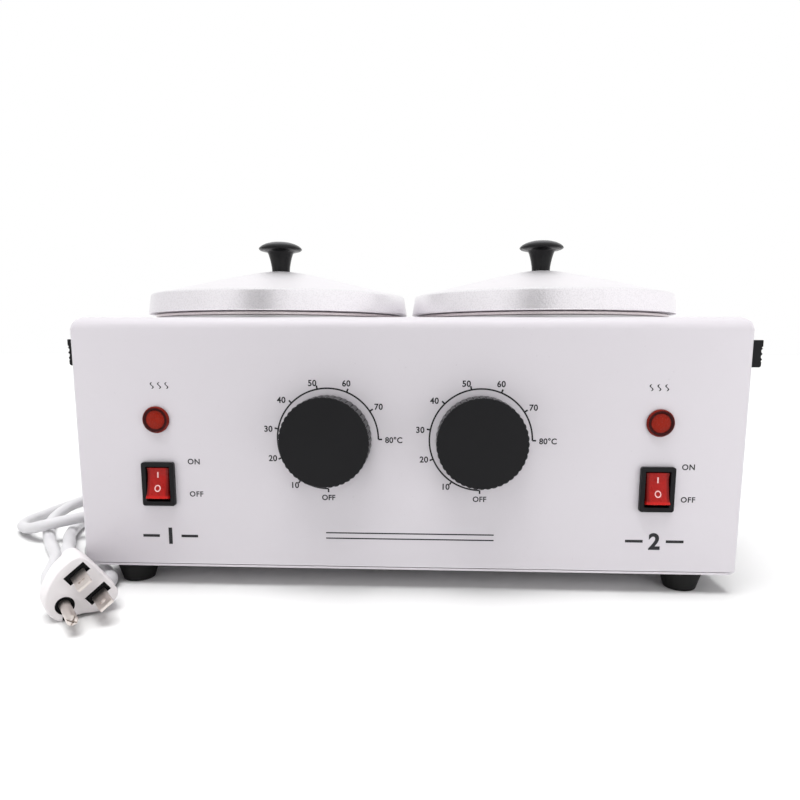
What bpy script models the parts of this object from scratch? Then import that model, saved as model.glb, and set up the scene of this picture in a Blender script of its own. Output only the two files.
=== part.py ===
"""Double wax warmer.

A folded sheet housing holds two heated wells side by side. Each well has a lift-out pot with a
lid, a thermostat dial, a rocker switch and a lamp. A mains lead with a three-pin plug leaves the
rear panel, is wound into a coil behind the housing and comes out on its left.

Metres, +Z up, +X to the right, and the front panel faces -Y. The origin is on the surface that
the feet stand on, in the middle of the housing's width and of the depth from the dials' faces to
the heads of the rear screws.
"""

import math

import bmesh
import bpy
from mathutils import Matrix, Vector

# Clearances and cutting
fit_gap = 0.0003
running_gap = 0.0004
weld_distance = 0.00005
cut_overrun = 0.002

# Housing and tray
housing_height = 0.1154
housing_side_margin = 0.0143
housing_front_margin = 0.01
sheet_thickness = 0.001
fold_radius = 0.0045
fold_segments = 3
tray_flange_height = 0.007
vent_width = 0.003
vent_length = 0.03
vent_pitch = 0.007
vent_count = 5
vent_depth_offset = 0.018

# Feet
foot_height = 0.0094
foot_top_radius = 0.01
foot_bottom_radius = 0.007
foot_edge_radius = 0.0007
foot_side_inset = 0.021
foot_front_inset = 0.011
foot_recess_radius = 0.0043
foot_recess_depth = 0.0042

# Screws
screw_radius = 0.0016
screw_head_radius = 0.0034
screw_head_height = 0.0018
screw_length = 0.007
base_screw_side_inset = 0.0325
base_screw_rise = 0.0035

# Handles
handle_length = 0.078
handle_height = 0.0134
handle_reach = 0.022
handle_bar = 0.0085
handle_leg = 0.012
handle_drop = 0.0165
handle_corner_radius = 0.004
handle_ridge_depth = 0.0011
handle_ridge_count = 3

# Wells and heater bands
well_radius = 0.06
well_wall = 0.001
well_depth = 0.081
well_flange_width = 0.0065
well_flange_thickness = 0.001
well_corner_radius = 0.004
band_rise = 0.016
band_height = 0.032
band_thickness = 0.0025
band_split = 0.008

# Wax pots
pot_side_gap = 0.0008
pot_wall = 0.0012
pot_depth = 0.0775
pot_flange_thickness = 0.0014
pot_corner_radius = 0.006

# Lids and knobs
lid_overhang = 0.0036
lid_side_gap = 0.0032
lid_skirt_taper = 0.0015
lid_skirt_height = 0.0096
lid_corner_radius = 0.0022
lid_rise = 0.0142
lid_seat_radius = 0.0075
lid_sheet = 0.001
lid_locating_gap = 0.0005
lid_locating_depth = 0.003
knob_radius = 0.0118
knob_height = 0.0161
knob_base_radius = 0.005
knob_neck_radius = 0.0048
lid_screw_length = 0.009

# Thermostats and dials
dial_inward_offset = 0.0369
dial_rise = 0.0604
dial_radius = 0.02025
dial_protrusion = 0.0125
dial_panel_gap = 0.0006
dial_flute_depth = 0.0006
dial_flute_count = 36
dial_edge = 0.0008
dial_hollow_radius = 0.0182
dial_face_thickness = 0.003
dial_hub_radius = 0.0056
spindle_radius = 0.003
spindle_hole_radius = 0.004
thermostat_width = 0.028
thermostat_height = 0.028
thermostat_depth = 0.0135
thermostat_edge = 0.0015
thermostat_screw_spacing = 0.0245
spindle_seat_depth = 0.003
bulb_radius = 0.003
bulb_length = 0.055
capillary_radius = 0.0009
capillary_drop = 0.008
capillary_bend = 0.005

# Rocker switches
switch_side_inset = 0.0383
switch_rise = 0.0388
switch_frame_width = 0.0153
switch_frame_height = 0.0206
switch_frame_stand = 0.002
switch_frame_edge = 0.0008
switch_body_width = 0.0129
switch_body_height = 0.0185
switch_body_depth = 0.0205
switch_cavity_width = 0.0112
switch_cavity_height = 0.0164
switch_cavity_depth = 0.0095
rocker_side_gap = 0.0003
rocker_half_height = 0.0072
rocker_tilt = math.radians(12)
rocker_pivot_depth = 0.0002
rocker_end_stand = 0.0032
rocker_middle_stand = 0.0019
rocker_pin_radius = 0.00095
rocker_pin_hole_radius = 0.00125
rocker_pin_reach = 0.0006

# Lamps
lamp_rise = 0.0688
lamp_flange_radius = 0.0062
lamp_flange_thickness = 0.0014
lamp_dome_radius = 0.0043
lamp_dome_height = 0.0016
lamp_barrel_radius = 0.0048
lamp_barrel_length = 0.005
lamp_body_radius = 0.0066
lamp_body_length = 0.018
lamp_nut_radius = 0.0078
lamp_nut_thickness = 0.003

# Terminal block
terminal_width = 0.036
terminal_depth = 0.016
terminal_height = 0.014
terminal_edge = 0.001
terminal_wall_gap = 0.012

# Cord, relief and coil
cord_radius = 0.00325
cord_rest_height = 0.0033
cord_exit_rise = 0.017
relief_length = 0.025
relief_flange_radius = 0.0078
relief_flange_thickness = 0.002
relief_groove_radius = 0.0055
relief_root_radius = 0.0058
relief_tip_radius = 0.0043
relief_rib_count = 5
relief_rib_depth = 0.0007
coil_centre_x = -0.085
coil_radius = 0.0395
coil_pitch = 0.0086
coil_layer_step = 0.0071
coil_start_run = 0.0174
coil_points_per_turn = 24
coil_turns_share = 2.25
coil_lead_turns_share = 1 / 3
coil_layer_turns_share = 0.875
coil_climb_turns_share = 0.5

# The cord's route from the end of the coil, over itself beside the housing, to the plug
cord_route = (
    (-0.1120, 0.1647, 0.0033),
    (-0.1400, 0.1657, 0.0033),
    (-0.1680, 0.1617, 0.0033),
    (-0.1950, 0.1497, 0.0033),
    (-0.2170, 0.1287, 0.0033),
    (-0.2300, 0.1037, 0.0033),
    (-0.2360, 0.0787, 0.0033),
    (-0.2390, 0.0557, 0.0033),
    (-0.2405, 0.0387, 0.0033),
    (-0.2415, 0.0247, 0.0033),
    (-0.2375, 0.0127, 0.0039),
    (-0.2295, 0.0027, 0.0052),
    (-0.2200, -0.0048, 0.0075),
    (-0.2120, -0.0078, 0.0099),
    (-0.2045, -0.0063, 0.0114),
    (-0.1975, -0.0018, 0.0123),
    (-0.1905, 0.0052, 0.0125),
    (-0.1825, 0.0137, 0.0116),
    (-0.1740, 0.0232, 0.0105),
    (-0.1660, 0.0357, 0.0082),
    (-0.1625, 0.0497, 0.0072),
    (-0.1660, 0.0647, 0.0084),
    (-0.1755, 0.0757, 0.0105),
    (-0.1890, 0.0792, 0.0107),
    (-0.2040, 0.0747, 0.0106),
    (-0.2155, 0.0637, 0.0106),
    (-0.2220, 0.0487, 0.0096),
    (-0.2255, 0.0347, 0.0070),
    (-0.2250, 0.0217, 0.0040),
    (-0.2190, 0.0087, 0.0033),
    (-0.2110, -0.0043, 0.0033),
    (-0.2020, -0.0183, 0.0033),
    (-0.1920, -0.0318, 0.0033),
    (-0.1830, -0.0448, 0.0033),
    (-0.1765, -0.0593, 0.0033),
    (-0.1710, -0.0723, 0.0033),
    (-0.1645, -0.0823, 0.0033),
    (-0.1565, -0.0878, 0.0033),
    (-0.1475, -0.0883, 0.0033),
    (-0.1405, -0.0833, 0.0033),
    (-0.1392, -0.0748, 0.0033),
    (-0.1445, -0.0663, 0.0033),
    (-0.1540, -0.0553, 0.0033),
    (-0.1640, -0.0433, 0.0033),
    (-0.1730, -0.0283, 0.0033),
    (-0.1790, -0.0113, 0.0033),
    (-0.1820, 0.0067, 0.0033),
    (-0.1830, 0.0267, 0.0033),
    (-0.1810, 0.0467, 0.0033),
    (-0.1780, 0.0647, 0.0033),
    (-0.1735, 0.0827, 0.0033),
    (-0.1695, 0.1007, 0.0033),
    (-0.1695, 0.1187, 0.0033),
    (-0.1780, 0.1327, 0.0033),
    (-0.1920, 0.1372, 0.0033),
    (-0.2050, 0.1292, 0.0033),
    (-0.2110, 0.1127, 0.0033),
    (-0.2110, 0.0927, 0.0033),
    (-0.2095, 0.0747, 0.0033),
    (-0.2090, 0.0567, 0.0033),
    (-0.2080, 0.0387, 0.0033),
    (-0.2060, 0.0227, 0.0033),
    (-0.2020, 0.0067, 0.0035),
    (-0.1950, -0.0103, 0.0047),
    (-0.1865, -0.0260, 0.0068),
    (-0.1774, -0.0415, 0.0097),
    (-0.1676, -0.0600, 0.0130),
)
cord_longest_step = 0.0195

# Plug
plug_face_centre = (-0.1314, -0.1079, 0.0138)
plug_heading = math.radians(38)
plug_roll = math.radians(53.7)
plug_length = 0.044
plug_full_length = 0.011
plug_shoulder_length = 0.014
plug_swell = 0.001
plug_face_inset = 0.0006
plug_neck_radius = 0.0052
plug_tip_radius = 0.0046
plug_half_width = 0.0133
plug_top_height = 0.0068
plug_bottom_drop = 0.0183
blade_spacing = 0.0127
blade_width = 0.00635
blade_thickness = 0.0015
blade_length = 0.0165
ground_offset = 0.0119
ground_radius = 0.0024
ground_length = 0.019
plug_slot_length = 0.0098
plug_slot_width = 0.0044
plug_recess_radius = 0.0042
plug_recess_depth = 0.002
pin_tip_edge = 0.0004

# Facets
large_turn_steps = 32
medium_turn_steps = 20
small_turn_steps = 10
foot_turn_steps = 16
corner_segments = 2
well_corner_segments = 1
hole_segments = 16

# Radii and spacings that follow from the sizes
well_flange_radius = well_radius + well_flange_width
pot_radius = well_radius - well_wall - pot_side_gap
lid_bottom_radius = well_flange_radius + lid_overhang
lid_top_radius = lid_bottom_radius - lid_skirt_taper
lid_locating_radius = pot_radius - pot_wall - lid_locating_gap
well_spacing = 2 * lid_bottom_radius + lid_side_gap
housing_width = well_spacing + 2 * (well_flange_radius + housing_side_margin)
housing_depth = 2 * (well_flange_radius + housing_front_margin)
dial_spacing = well_spacing - 2 * dial_inward_offset
switch_spacing = housing_width - 2 * switch_side_inset
base_screw_spacing = housing_width - 2 * base_screw_side_inset

# Places that follow from the sizes
rear_screw_stand = fit_gap + screw_head_height
front_y = (dial_protrusion - housing_depth - rear_screw_stand) / 2
rear_y = front_y + housing_depth
middle_y = front_y + housing_depth / 2
tray_bottom_z = foot_height + fit_gap
tray_top_z = tray_bottom_z + sheet_thickness
housing_bottom_z = tray_top_z + fit_gap
housing_top_z = housing_bottom_z + housing_height
tray_inset = sheet_thickness + fit_gap
tray_floor_z = tray_bottom_z + sheet_thickness + fit_gap / 2
well_flange_bottom_z = housing_top_z + fit_gap
well_top_z = well_flange_bottom_z + well_flange_thickness
well_bottom_z = well_top_z - well_depth
pot_flange_bottom_z = well_top_z + fit_gap
pot_top_z = pot_flange_bottom_z + pot_flange_thickness
pot_bottom_z = pot_top_z - pot_depth
lid_bottom_z = pot_top_z + fit_gap
lid_rim_z = lid_bottom_z + lid_skirt_height
lid_apex_z = lid_rim_z + lid_rise
inner_front_y = front_y + sheet_thickness + fit_gap
dial_z = housing_bottom_z + dial_rise
switch_z = housing_bottom_z + switch_rise
lamp_z = housing_bottom_z + lamp_rise
handle_z = housing_top_z - handle_drop
cord_exit_z = housing_bottom_z + cord_exit_rise
cord_diameter = 2 * cord_radius
coil_centre_y = rear_y + relief_length + fit_gap + coil_start_run
cord_exit_x = coil_centre_x + coil_radius

# Turns that bring a piece's own +Z to face another way
upright = (0, 0, 0)
facing_front = (math.pi / 2, 0, 0)
facing_rear = (-math.pi / 2, 0, 0)
facing_left = (0, -math.pi / 2, 0)
facing_right = (0, math.pi / 2, 0)
facing_down = (math.pi, 0, 0)
lying_sideways = (math.pi / 2, 0, math.pi / 2)

sides = (("left", -1), ("right", 1))

finishes = {
    "white_paint": ((0.78, 0.77, 0.80), 0.0, 0.35),
    "black_rubber": ((0.02, 0.02, 0.02), 0.0, 0.75),
    "black_plastic": ((0.025, 0.025, 0.027), 0.0, 0.45),
    "spun_aluminium": ((0.72, 0.71, 0.70), 1.0, 0.32),
    "dull_aluminium": ((0.62, 0.62, 0.62), 1.0, 0.45),
    "heater_mica": ((0.45, 0.36, 0.25), 0.0, 0.7),
    "red_plastic": ((0.72, 0.03, 0.04), 0.0, 0.3),
    "red_lens": ((0.75, 0.02, 0.03), 0.0, 0.15),
    "zinc_steel": ((0.60, 0.60, 0.58), 1.0, 0.4),
    "nickel": ((0.66, 0.63, 0.58), 1.0, 0.3),
    "copper": ((0.72, 0.42, 0.28), 1.0, 0.4),
    "cream_plastic": ((0.75, 0.72, 0.62), 0.0, 0.5),
    "white_vinyl": ((0.80, 0.80, 0.81), 0.0, 0.4),
}


def clear_scene():
    for old in list(bpy.data.objects):
        bpy.data.objects.remove(old, do_unlink=True)


def new_collection(name, hidden=False):
    collection = bpy.data.collections.new(name)
    collection.hide_render = hidden
    bpy.context.scene.collection.children.link(collection)
    return collection


def finish_material(name):
    """The named finish as a Principled material, made once."""
    material = bpy.data.materials.get(name)
    if material is None:
        colour, metallic, roughness = finishes[name]
        material = bpy.data.materials.new(name)
        material.use_nodes = True
        shader = material.node_tree.nodes["Principled BSDF"]
        shader.inputs["Base Color"].default_value = (*colour, 1)
        shader.inputs["Metallic"].default_value = metallic
        shader.inputs["Roughness"].default_value = roughness
    return material


def place(obj, finish, location=(0, 0, 0), rotation=upright, parent=None):
    """Puts a finished piece in the warmer's collection."""
    warmer.objects.link(obj)
    obj.location = location
    obj.rotation_euler = rotation
    obj.parent = parent
    obj.data.materials.clear()
    obj.data.materials.append(finish_material(finish))
    return obj


def object_from(name, bm, smooth=True):
    """An object around the mesh that was built in bm."""
    bmesh.ops.recalc_face_normals(bm, faces=bm.faces)
    mesh = bpy.data.meshes.new(name)
    bm.to_mesh(mesh)
    bm.free()
    if smooth:
        mesh.shade_smooth()
        mesh.set_sharp_from_angle(angle=math.radians(35))
    return bpy.data.objects.new(name, mesh)


def add_block(bm, size, centre=(0, 0, 0)):
    """A block in bm, and its new vertices."""
    matrix = Matrix.Translation(centre) @ Matrix.Diagonal((*size, 1))
    return bmesh.ops.create_cube(bm, size=1, matrix=matrix)["verts"]


def add_cylinder(bm, radius, length, centre, rotation=upright, segments=hole_segments):
    """A closed cylinder in bm, its axis along its own Z before it is turned."""
    turn = Matrix.Rotation(rotation[0], 4, "X")
    turn = Matrix.Rotation(rotation[1], 4, "Y") @ turn
    turn = Matrix.Rotation(rotation[2], 4, "Z") @ turn
    bmesh.ops.create_cone(
        bm,
        cap_ends=True,
        segments=segments,
        radius1=radius,
        radius2=radius,
        depth=length,
        matrix=Matrix.Translation(centre) @ turn,
    )


def edges_along(bm, axes):
    """The edges of bm that run along one of the given axes."""
    found = []
    for edge in bm.edges:
        along = (edge.verts[0].co - edge.verts[1].co).normalized()
        if any(abs(along[axis]) > 0.999 for axis in axes):
            found.append(edge)
    return found


def rounded_block(name, size, radius, axes=(0, 1, 2), segments=corner_segments):
    """A block about its own centre whose edges along the given axes are rounded."""
    bm = bmesh.new()
    add_block(bm, size)
    bmesh.ops.bevel(
        bm,
        geom=edges_along(bm, axes),
        offset=radius,
        segments=segments,
        affect="EDGES",
        profile=0.5,
    )
    return object_from(name, bm)


def turned(name, profile, steps=medium_turn_steps, closed=False):
    """A piece turned about its own Z from (radius, height) points, top to bottom."""
    mesh = bpy.data.meshes.new(name)
    points = [(radius, 0, height) for radius, height in profile]
    edges = [(i, i + 1) for i in range(len(points) - 1)]
    if closed:
        edges.append((len(points) - 1, 0))
    mesh.from_pydata(points, edges, [])
    obj = bpy.data.objects.new(name, mesh)
    screw = obj.modifiers.new("Turn", "SCREW")
    screw.axis = "Z"
    screw.angle = 2 * math.pi
    screw.steps = steps
    screw.render_steps = steps
    screw.use_merge_vertices = True
    screw.merge_threshold = weld_distance
    screw.use_smooth_shade = True
    return obj


def flat_piece(name, outline, thickness, edge=0.0, edge_resolution=0):
    """A closed outline in its own XY plane, as thick as given, centred on the plane."""
    curve = bpy.data.curves.new(name, "CURVE")
    curve.dimensions = "2D"
    curve.fill_mode = "BOTH"
    curve.extrude = thickness / 2 - edge
    curve.bevel_depth = edge
    curve.bevel_resolution = edge_resolution
    curve.offset = -edge
    spline = curve.splines.new("POLY")
    spline.points.add(len(outline) - 1)
    for point, (x, y) in zip(spline.points, outline):
        point.co = (x, y, 0, 1)
    spline.use_cyclic_u = True
    return bpy.data.objects.new(name, curve)


def tube(name, points, radius, resolution, radii=None):
    """A round tube with closed ends along the points."""
    curve = bpy.data.curves.new(name, "CURVE")
    curve.dimensions = "3D"
    curve.bevel_depth = radius
    curve.bevel_resolution = resolution
    curve.use_fill_caps = True
    spline = curve.splines.new("POLY")
    spline.points.add(len(points) - 1)
    for i, (point, place_) in enumerate(zip(spline.points, points)):
        point.co = (*place_, 1)
        point.radius = radii[i] if radii else 1
    return bpy.data.objects.new(name, curve)


def as_mesh(obj):
    """The same piece with its curve or its modifiers made a plain welded mesh."""
    holder = bpy.context.scene.collection
    holder.objects.link(obj)
    bpy.context.view_layer.update()
    graph = bpy.context.evaluated_depsgraph_get()
    mesh = bpy.data.meshes.new_from_object(obj.evaluated_get(graph))
    bm = bmesh.new()
    bm.from_mesh(mesh)
    bmesh.ops.remove_doubles(bm, verts=bm.verts, dist=weld_distance)
    bmesh.ops.recalc_face_normals(bm, faces=bm.faces)
    bm.to_mesh(mesh)
    bm.free()
    name = obj.name
    bpy.data.objects.remove(obj, do_unlink=True)
    mesh.shade_smooth()
    mesh.set_sharp_from_angle(angle=math.radians(35))
    return bpy.data.objects.new(name, mesh)


def combine(obj, other, operation):
    """Cuts other from obj, or joins it to obj. Both are in the same space."""
    cutters.objects.link(other)
    other.hide_render = True
    other.display_type = "WIRE"
    other.parent = obj.parent
    other.location = obj.location
    other.rotation_euler = obj.rotation_euler
    boolean = obj.modifiers.new(operation.title(), "BOOLEAN")
    boolean.operation = operation
    boolean.solver = "EXACT"
    boolean.object = other


def cut(obj, bm):
    """Takes the shapes in bm, given in obj's own space, out of obj."""
    combine(obj, object_from(obj.name + "_cuts", bm, smooth=False), "DIFFERENCE")


def arc(centre, radius, start, end, count):
    """Points of an arc in a profile's plane, its ends included, angles in degrees."""
    points = []
    for i in range(count + 1):
        angle = math.radians(start + (end - start) * i / count)
        points.append(
            (centre[0] + radius * math.cos(angle), centre[1] + radius * math.sin(angle))
        )
    return points


def smooth_step(share):
    share = min(max(share, 0), 1)
    return share * share * (3 - 2 * share)


def smooth_through(points, longest_step):
    """Points of a smooth curve through the given ones, no further apart than the step."""
    points = [Vector(point) for point in points]
    ends = [2 * points[0] - points[1], *points, 2 * points[-1] - points[-2]]
    path = []
    for before, start, end, after in zip(ends, ends[1:], ends[2:], ends[3:]):
        parts = max(1, math.ceil((end - start).length / longest_step))
        for i in range(parts):
            share = i / parts
            middle = (
                2 * start
                + (end - before) * share
                + (2 * before - 5 * start + 4 * end - after) * share**2
                + (3 * start - before - 3 * end + after) * share**3
            )
            path.append(middle / 2)
    path.append(points[-1])
    return path


def make_housing():
    """The folded housing, open below, with every hole that its panels have."""
    bm = bmesh.new()
    add_block(bm, (housing_width, housing_depth, housing_height))
    floor = [face for face in bm.faces if face.normal.z < -0.5]
    bmesh.ops.delete(bm, geom=floor, context="FACES_ONLY")
    folds = [edge for edge in bm.edges if len(edge.link_faces) == 2]
    bmesh.ops.bevel(
        bm, geom=folds, offset=fold_radius, segments=fold_segments, affect="EDGES", profile=0.5
    )
    housing = object_from("housing_shell", bm)
    walls = housing.modifiers.new("Sheet", "SOLIDIFY")
    walls.thickness = sheet_thickness
    walls.offset = -1
    walls.use_even_offset = True
    centre = Vector((0, middle_y, housing_bottom_z + housing_height / 2))
    place(housing, "white_paint", centre)
    cuts = bmesh.new()
    depth = 2 * (sheet_thickness + cut_overrun)

    def hole(radius, x, y, z, rotation, segments=hole_segments):
        add_cylinder(cuts, radius, depth, Vector((x, y, z)) - centre, rotation, segments)

    for _, side in sides:
        well_x = side * well_spacing / 2
        dial_x = side * dial_spacing / 2
        switch_x = side * switch_spacing / 2
        wall_x = side * housing_width / 2
        hole(well_radius + running_gap, well_x, middle_y, housing_top_z, upright, large_turn_steps)
        hole(spindle_hole_radius, dial_x, front_y, dial_z, facing_front)
        for way in (-1, 1):
            screw_x = dial_x + way * thermostat_screw_spacing / 2
            hole(screw_radius + fit_gap, screw_x, front_y, dial_z, facing_front, small_turn_steps)
            hole(
                screw_radius + fit_gap,
                wall_x,
                middle_y + way * (handle_length - handle_leg) / 2,
                handle_z,
                facing_right,
                small_turn_steps,
            )
        hole(lamp_barrel_radius + fit_gap, switch_x, front_y, lamp_z, facing_front)
        add_block(
            cuts,
            (switch_body_width + 2 * fit_gap, depth, switch_body_height + 2 * fit_gap),
            Vector((switch_x, front_y, switch_z)) - centre,
        )
        hole(
            screw_radius + fit_gap,
            side * base_screw_spacing / 2,
            rear_y,
            housing_bottom_z + base_screw_rise,
            facing_front,
            small_turn_steps,
        )
    hole(relief_groove_radius + fit_gap, cord_exit_x, rear_y, cord_exit_z, facing_front)
    cut(housing, cuts)


def make_tray():
    """The bottom tray: a lip under the housing's edge and a flange that stands inside it."""
    lip = rounded_block(
        "base_tray",
        (housing_width, housing_depth, sheet_thickness),
        fold_radius,
        axes=(2,),
        segments=fold_segments,
    )
    centre = Vector((0, middle_y, tray_bottom_z + sheet_thickness / 2))
    place(lip, "white_paint", centre)
    width = housing_width - 2 * tray_inset
    depth = housing_depth - 2 * tray_inset
    height = tray_flange_height + sheet_thickness
    tub = rounded_block(
        "base_tray_flange",
        (width, depth, height),
        fold_radius - tray_inset,
        axes=(2,),
        segments=fold_segments,
    )
    bm = bmesh.new()
    bm.from_mesh(tub.data)
    bmesh.ops.translate(bm, verts=bm.verts, vec=(0, 0, height / 2 - fit_gap))
    bm.to_mesh(tub.data)
    bm.free()
    combine(lip, tub, "UNION")
    cuts = bmesh.new()
    inner_height = height + cut_overrun
    floor = sheet_thickness / 2 + fit_gap / 2
    add_block(
        cuts,
        (width - 2 * sheet_thickness, depth - 2 * sheet_thickness, inner_height),
        (0, 0, floor + inner_height / 2),
    )
    cut(lip, cuts)
    holes = bmesh.new()
    hole_depth = 2 * (sheet_thickness + cut_overrun)
    for _, side in sides:
        for i in range(vent_count):
            x = side * well_spacing / 2 + (i - (vent_count - 1) / 2) * vent_pitch
            for way in (-1, 1):
                add_block(
                    holes, (vent_width, vent_length, hole_depth), (x, way * vent_depth_offset, 0)
                )
        for way in (-1, 1):
            x = side * (housing_width / 2 - foot_side_inset)
            y = way * (housing_depth / 2 - foot_front_inset)
            add_cylinder(holes, screw_radius + fit_gap, hole_depth, (x, y, 0))
        rise = housing_bottom_z + base_screw_rise - centre.z
        add_cylinder(
            holes,
            screw_radius + fit_gap,
            hole_depth,
            (side * base_screw_spacing / 2, depth / 2, rise),
            facing_front,
            small_turn_steps,
        )
    cut(lip, holes)


def make_screw(name, location, rotation, length=screw_length):
    """A pan-head screw whose head stands on its own +Z side of the location."""
    top_share = 0.6
    shoulder_share = 0.5
    profile = (
        (0, screw_head_height),
        (screw_head_radius * top_share, screw_head_height),
        (screw_head_radius, screw_head_height * shoulder_share),
        (screw_head_radius, 0),
        (screw_radius, 0),
        (screw_radius, -length),
        (0, -length),
    )
    place(turned(name, profile, small_turn_steps), "zinc_steel", location, rotation)


def make_feet():
    """Four rubber feet with a recess below for the head of their screw."""
    profile = (
        (foot_top_radius - foot_edge_radius, foot_height),
        (foot_top_radius, foot_height - foot_edge_radius),
        (foot_bottom_radius, foot_edge_radius),
        (foot_bottom_radius - foot_edge_radius, 0),
        (foot_recess_radius, 0),
        (foot_recess_radius, foot_recess_depth),
        (screw_radius + fit_gap, foot_recess_depth),
        (screw_radius + fit_gap, foot_height),
    )
    for side_name, side in sides:
        for row_name, row in (("front", -1), ("rear", 1)):
            x = side * (housing_width / 2 - foot_side_inset)
            y = middle_y + row * (housing_depth / 2 - foot_front_inset)
            foot = turned(f"foot_{row_name}_{side_name}", profile, foot_turn_steps, closed=True)
            place(foot, "black_rubber", (x, y, 0))
            make_screw(
                f"foot_screw_{row_name}_{side_name}",
                (x, y, foot_recess_depth - fit_gap),
                facing_down,
                foot_height - foot_recess_depth + screw_length / 2,
            )


def make_handles():
    """End handles: a bar with ridges along its outer face on two legs, with room for fingers."""
    half = handle_height / 2
    ridge_pitch = handle_height / handle_ridge_count
    points_per_ridge = 6
    outline = [(0, half), (0, -half)]
    for i in range(handle_ridge_count * points_per_ridge + 1):
        share = i / points_per_ridge
        swell = abs(math.sin(math.pi * share)) * handle_ridge_depth
        outline.append((handle_reach - handle_ridge_depth + swell, -half + share * ridge_pitch))
    for side_name, side in sides:
        mirrored = [(side * x, z) for x, z in outline]
        handle = as_mesh(flat_piece(f"{side_name}_handle", mirrored, handle_length))
        wall_x = side * (housing_width / 2 + fit_gap)
        place(handle, "black_plastic", (wall_x, middle_y, handle_z), facing_front)
        cuts = bmesh.new()
        gap_reach = handle_reach - handle_bar + cut_overrun
        corners = add_block(
            cuts,
            (gap_reach, handle_height + 2 * cut_overrun, handle_length - 2 * handle_leg),
            (side * (gap_reach / 2 - cut_overrun), 0, 0),
        )
        rounded = [
            edge
            for edge in edges_along(cuts, (1,))
            if abs(edge.verts[0].co.x) > cut_overrun and edge.verts[0] in corners
        ]
        bmesh.ops.bevel(
            cuts,
            geom=rounded,
            offset=handle_corner_radius,
            segments=corner_segments,
            affect="EDGES",
            profile=0.5,
        )
        for way in (-1, 1):
            add_cylinder(
                cuts,
                screw_radius + fit_gap,
                2 * screw_length,
                (0, 0, way * (handle_length - handle_leg) / 2),
                facing_right,
                small_turn_steps,
            )
        cut(handle, cuts)
        for row_name, way in (("front", -1), ("rear", 1)):
            location = (
                side * (housing_width / 2 - sheet_thickness - fit_gap),
                middle_y + way * (handle_length - handle_leg) / 2,
                handle_z,
            )
            inward = facing_left if side > 0 else facing_right
            make_screw(f"handle_screw_{row_name}_{side_name}", location, inward)


def make_wells():
    """Heated wells that hang by their flange in the housing's top, with their heater bands."""
    inner = well_radius - well_wall
    floor_z = well_bottom_z + well_wall
    outer_corner = arc(
        (well_radius - well_corner_radius, well_bottom_z + well_corner_radius),
        well_corner_radius,
        0,
        -90,
        well_corner_segments,
    )
    inner_corner = arc(
        (well_radius - well_corner_radius, well_bottom_z + well_corner_radius),
        well_corner_radius - well_wall,
        -90,
        0,
        well_corner_segments,
    )
    profile = [
        (0, floor_z),
        *inner_corner,
        (inner, well_top_z),
        (well_flange_radius, well_top_z),
        (well_flange_radius, well_flange_bottom_z),
        (well_radius, well_flange_bottom_z),
        *outer_corner,
        (0, well_bottom_z),
    ]
    band_inner = well_radius + fit_gap
    band_outer = band_inner + band_thickness
    band_bottom = well_bottom_z + band_rise
    band_top = band_bottom + band_height
    ring = (
        (band_inner, band_top),
        (band_outer, band_top),
        (band_outer, band_bottom),
        (band_inner, band_bottom),
    )
    for side_name, side in sides:
        location = (side * well_spacing / 2, middle_y, 0)
        well = turned(f"{side_name}_heating_well", profile, large_turn_steps)
        place(well, "dull_aluminium", location)
        band = turned(f"{side_name}_heater_band", ring, large_turn_steps, closed=True)
        place(band, "heater_mica", location)
        cuts = bmesh.new()
        add_block(
            cuts,
            (band_split, 2 * band_thickness + 2 * cut_overrun, band_height + 2 * cut_overrun),
            (0, band_inner + band_thickness / 2, (band_top + band_bottom) / 2),
        )
        cut(band, cuts)


def make_pots():
    """Lift-out wax pots whose flange rests on the flange of the well."""
    inner = pot_radius - pot_wall
    corner = (pot_radius - pot_corner_radius, pot_bottom_z + pot_corner_radius)
    profile = [
        (0, pot_bottom_z + pot_wall),
        *arc(corner, pot_corner_radius - pot_wall, -90, 0, corner_segments),
        (inner, pot_top_z),
        (well_flange_radius, pot_top_z),
        (well_flange_radius, pot_flange_bottom_z),
        (pot_radius, pot_flange_bottom_z),
        *arc(corner, pot_corner_radius, 0, -90, corner_segments),
        (0, pot_bottom_z),
    ]
    for side_name, side in sides:
        pot = turned(f"{side_name}_wax_pot", profile, large_turn_steps)
        place(pot, "spun_aluminium", (side * well_spacing / 2, middle_y, 0))


def lid_surface_z(radius):
    """Height of the lid's outer surface at a radius: a flat seat, then a slight crown."""
    crown_power_share = 1.12
    beyond = max(radius - lid_seat_radius, 0) / (lid_top_radius - lid_seat_radius)
    return lid_rim_z + lid_rise * (1 - beyond**crown_power_share)


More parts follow.
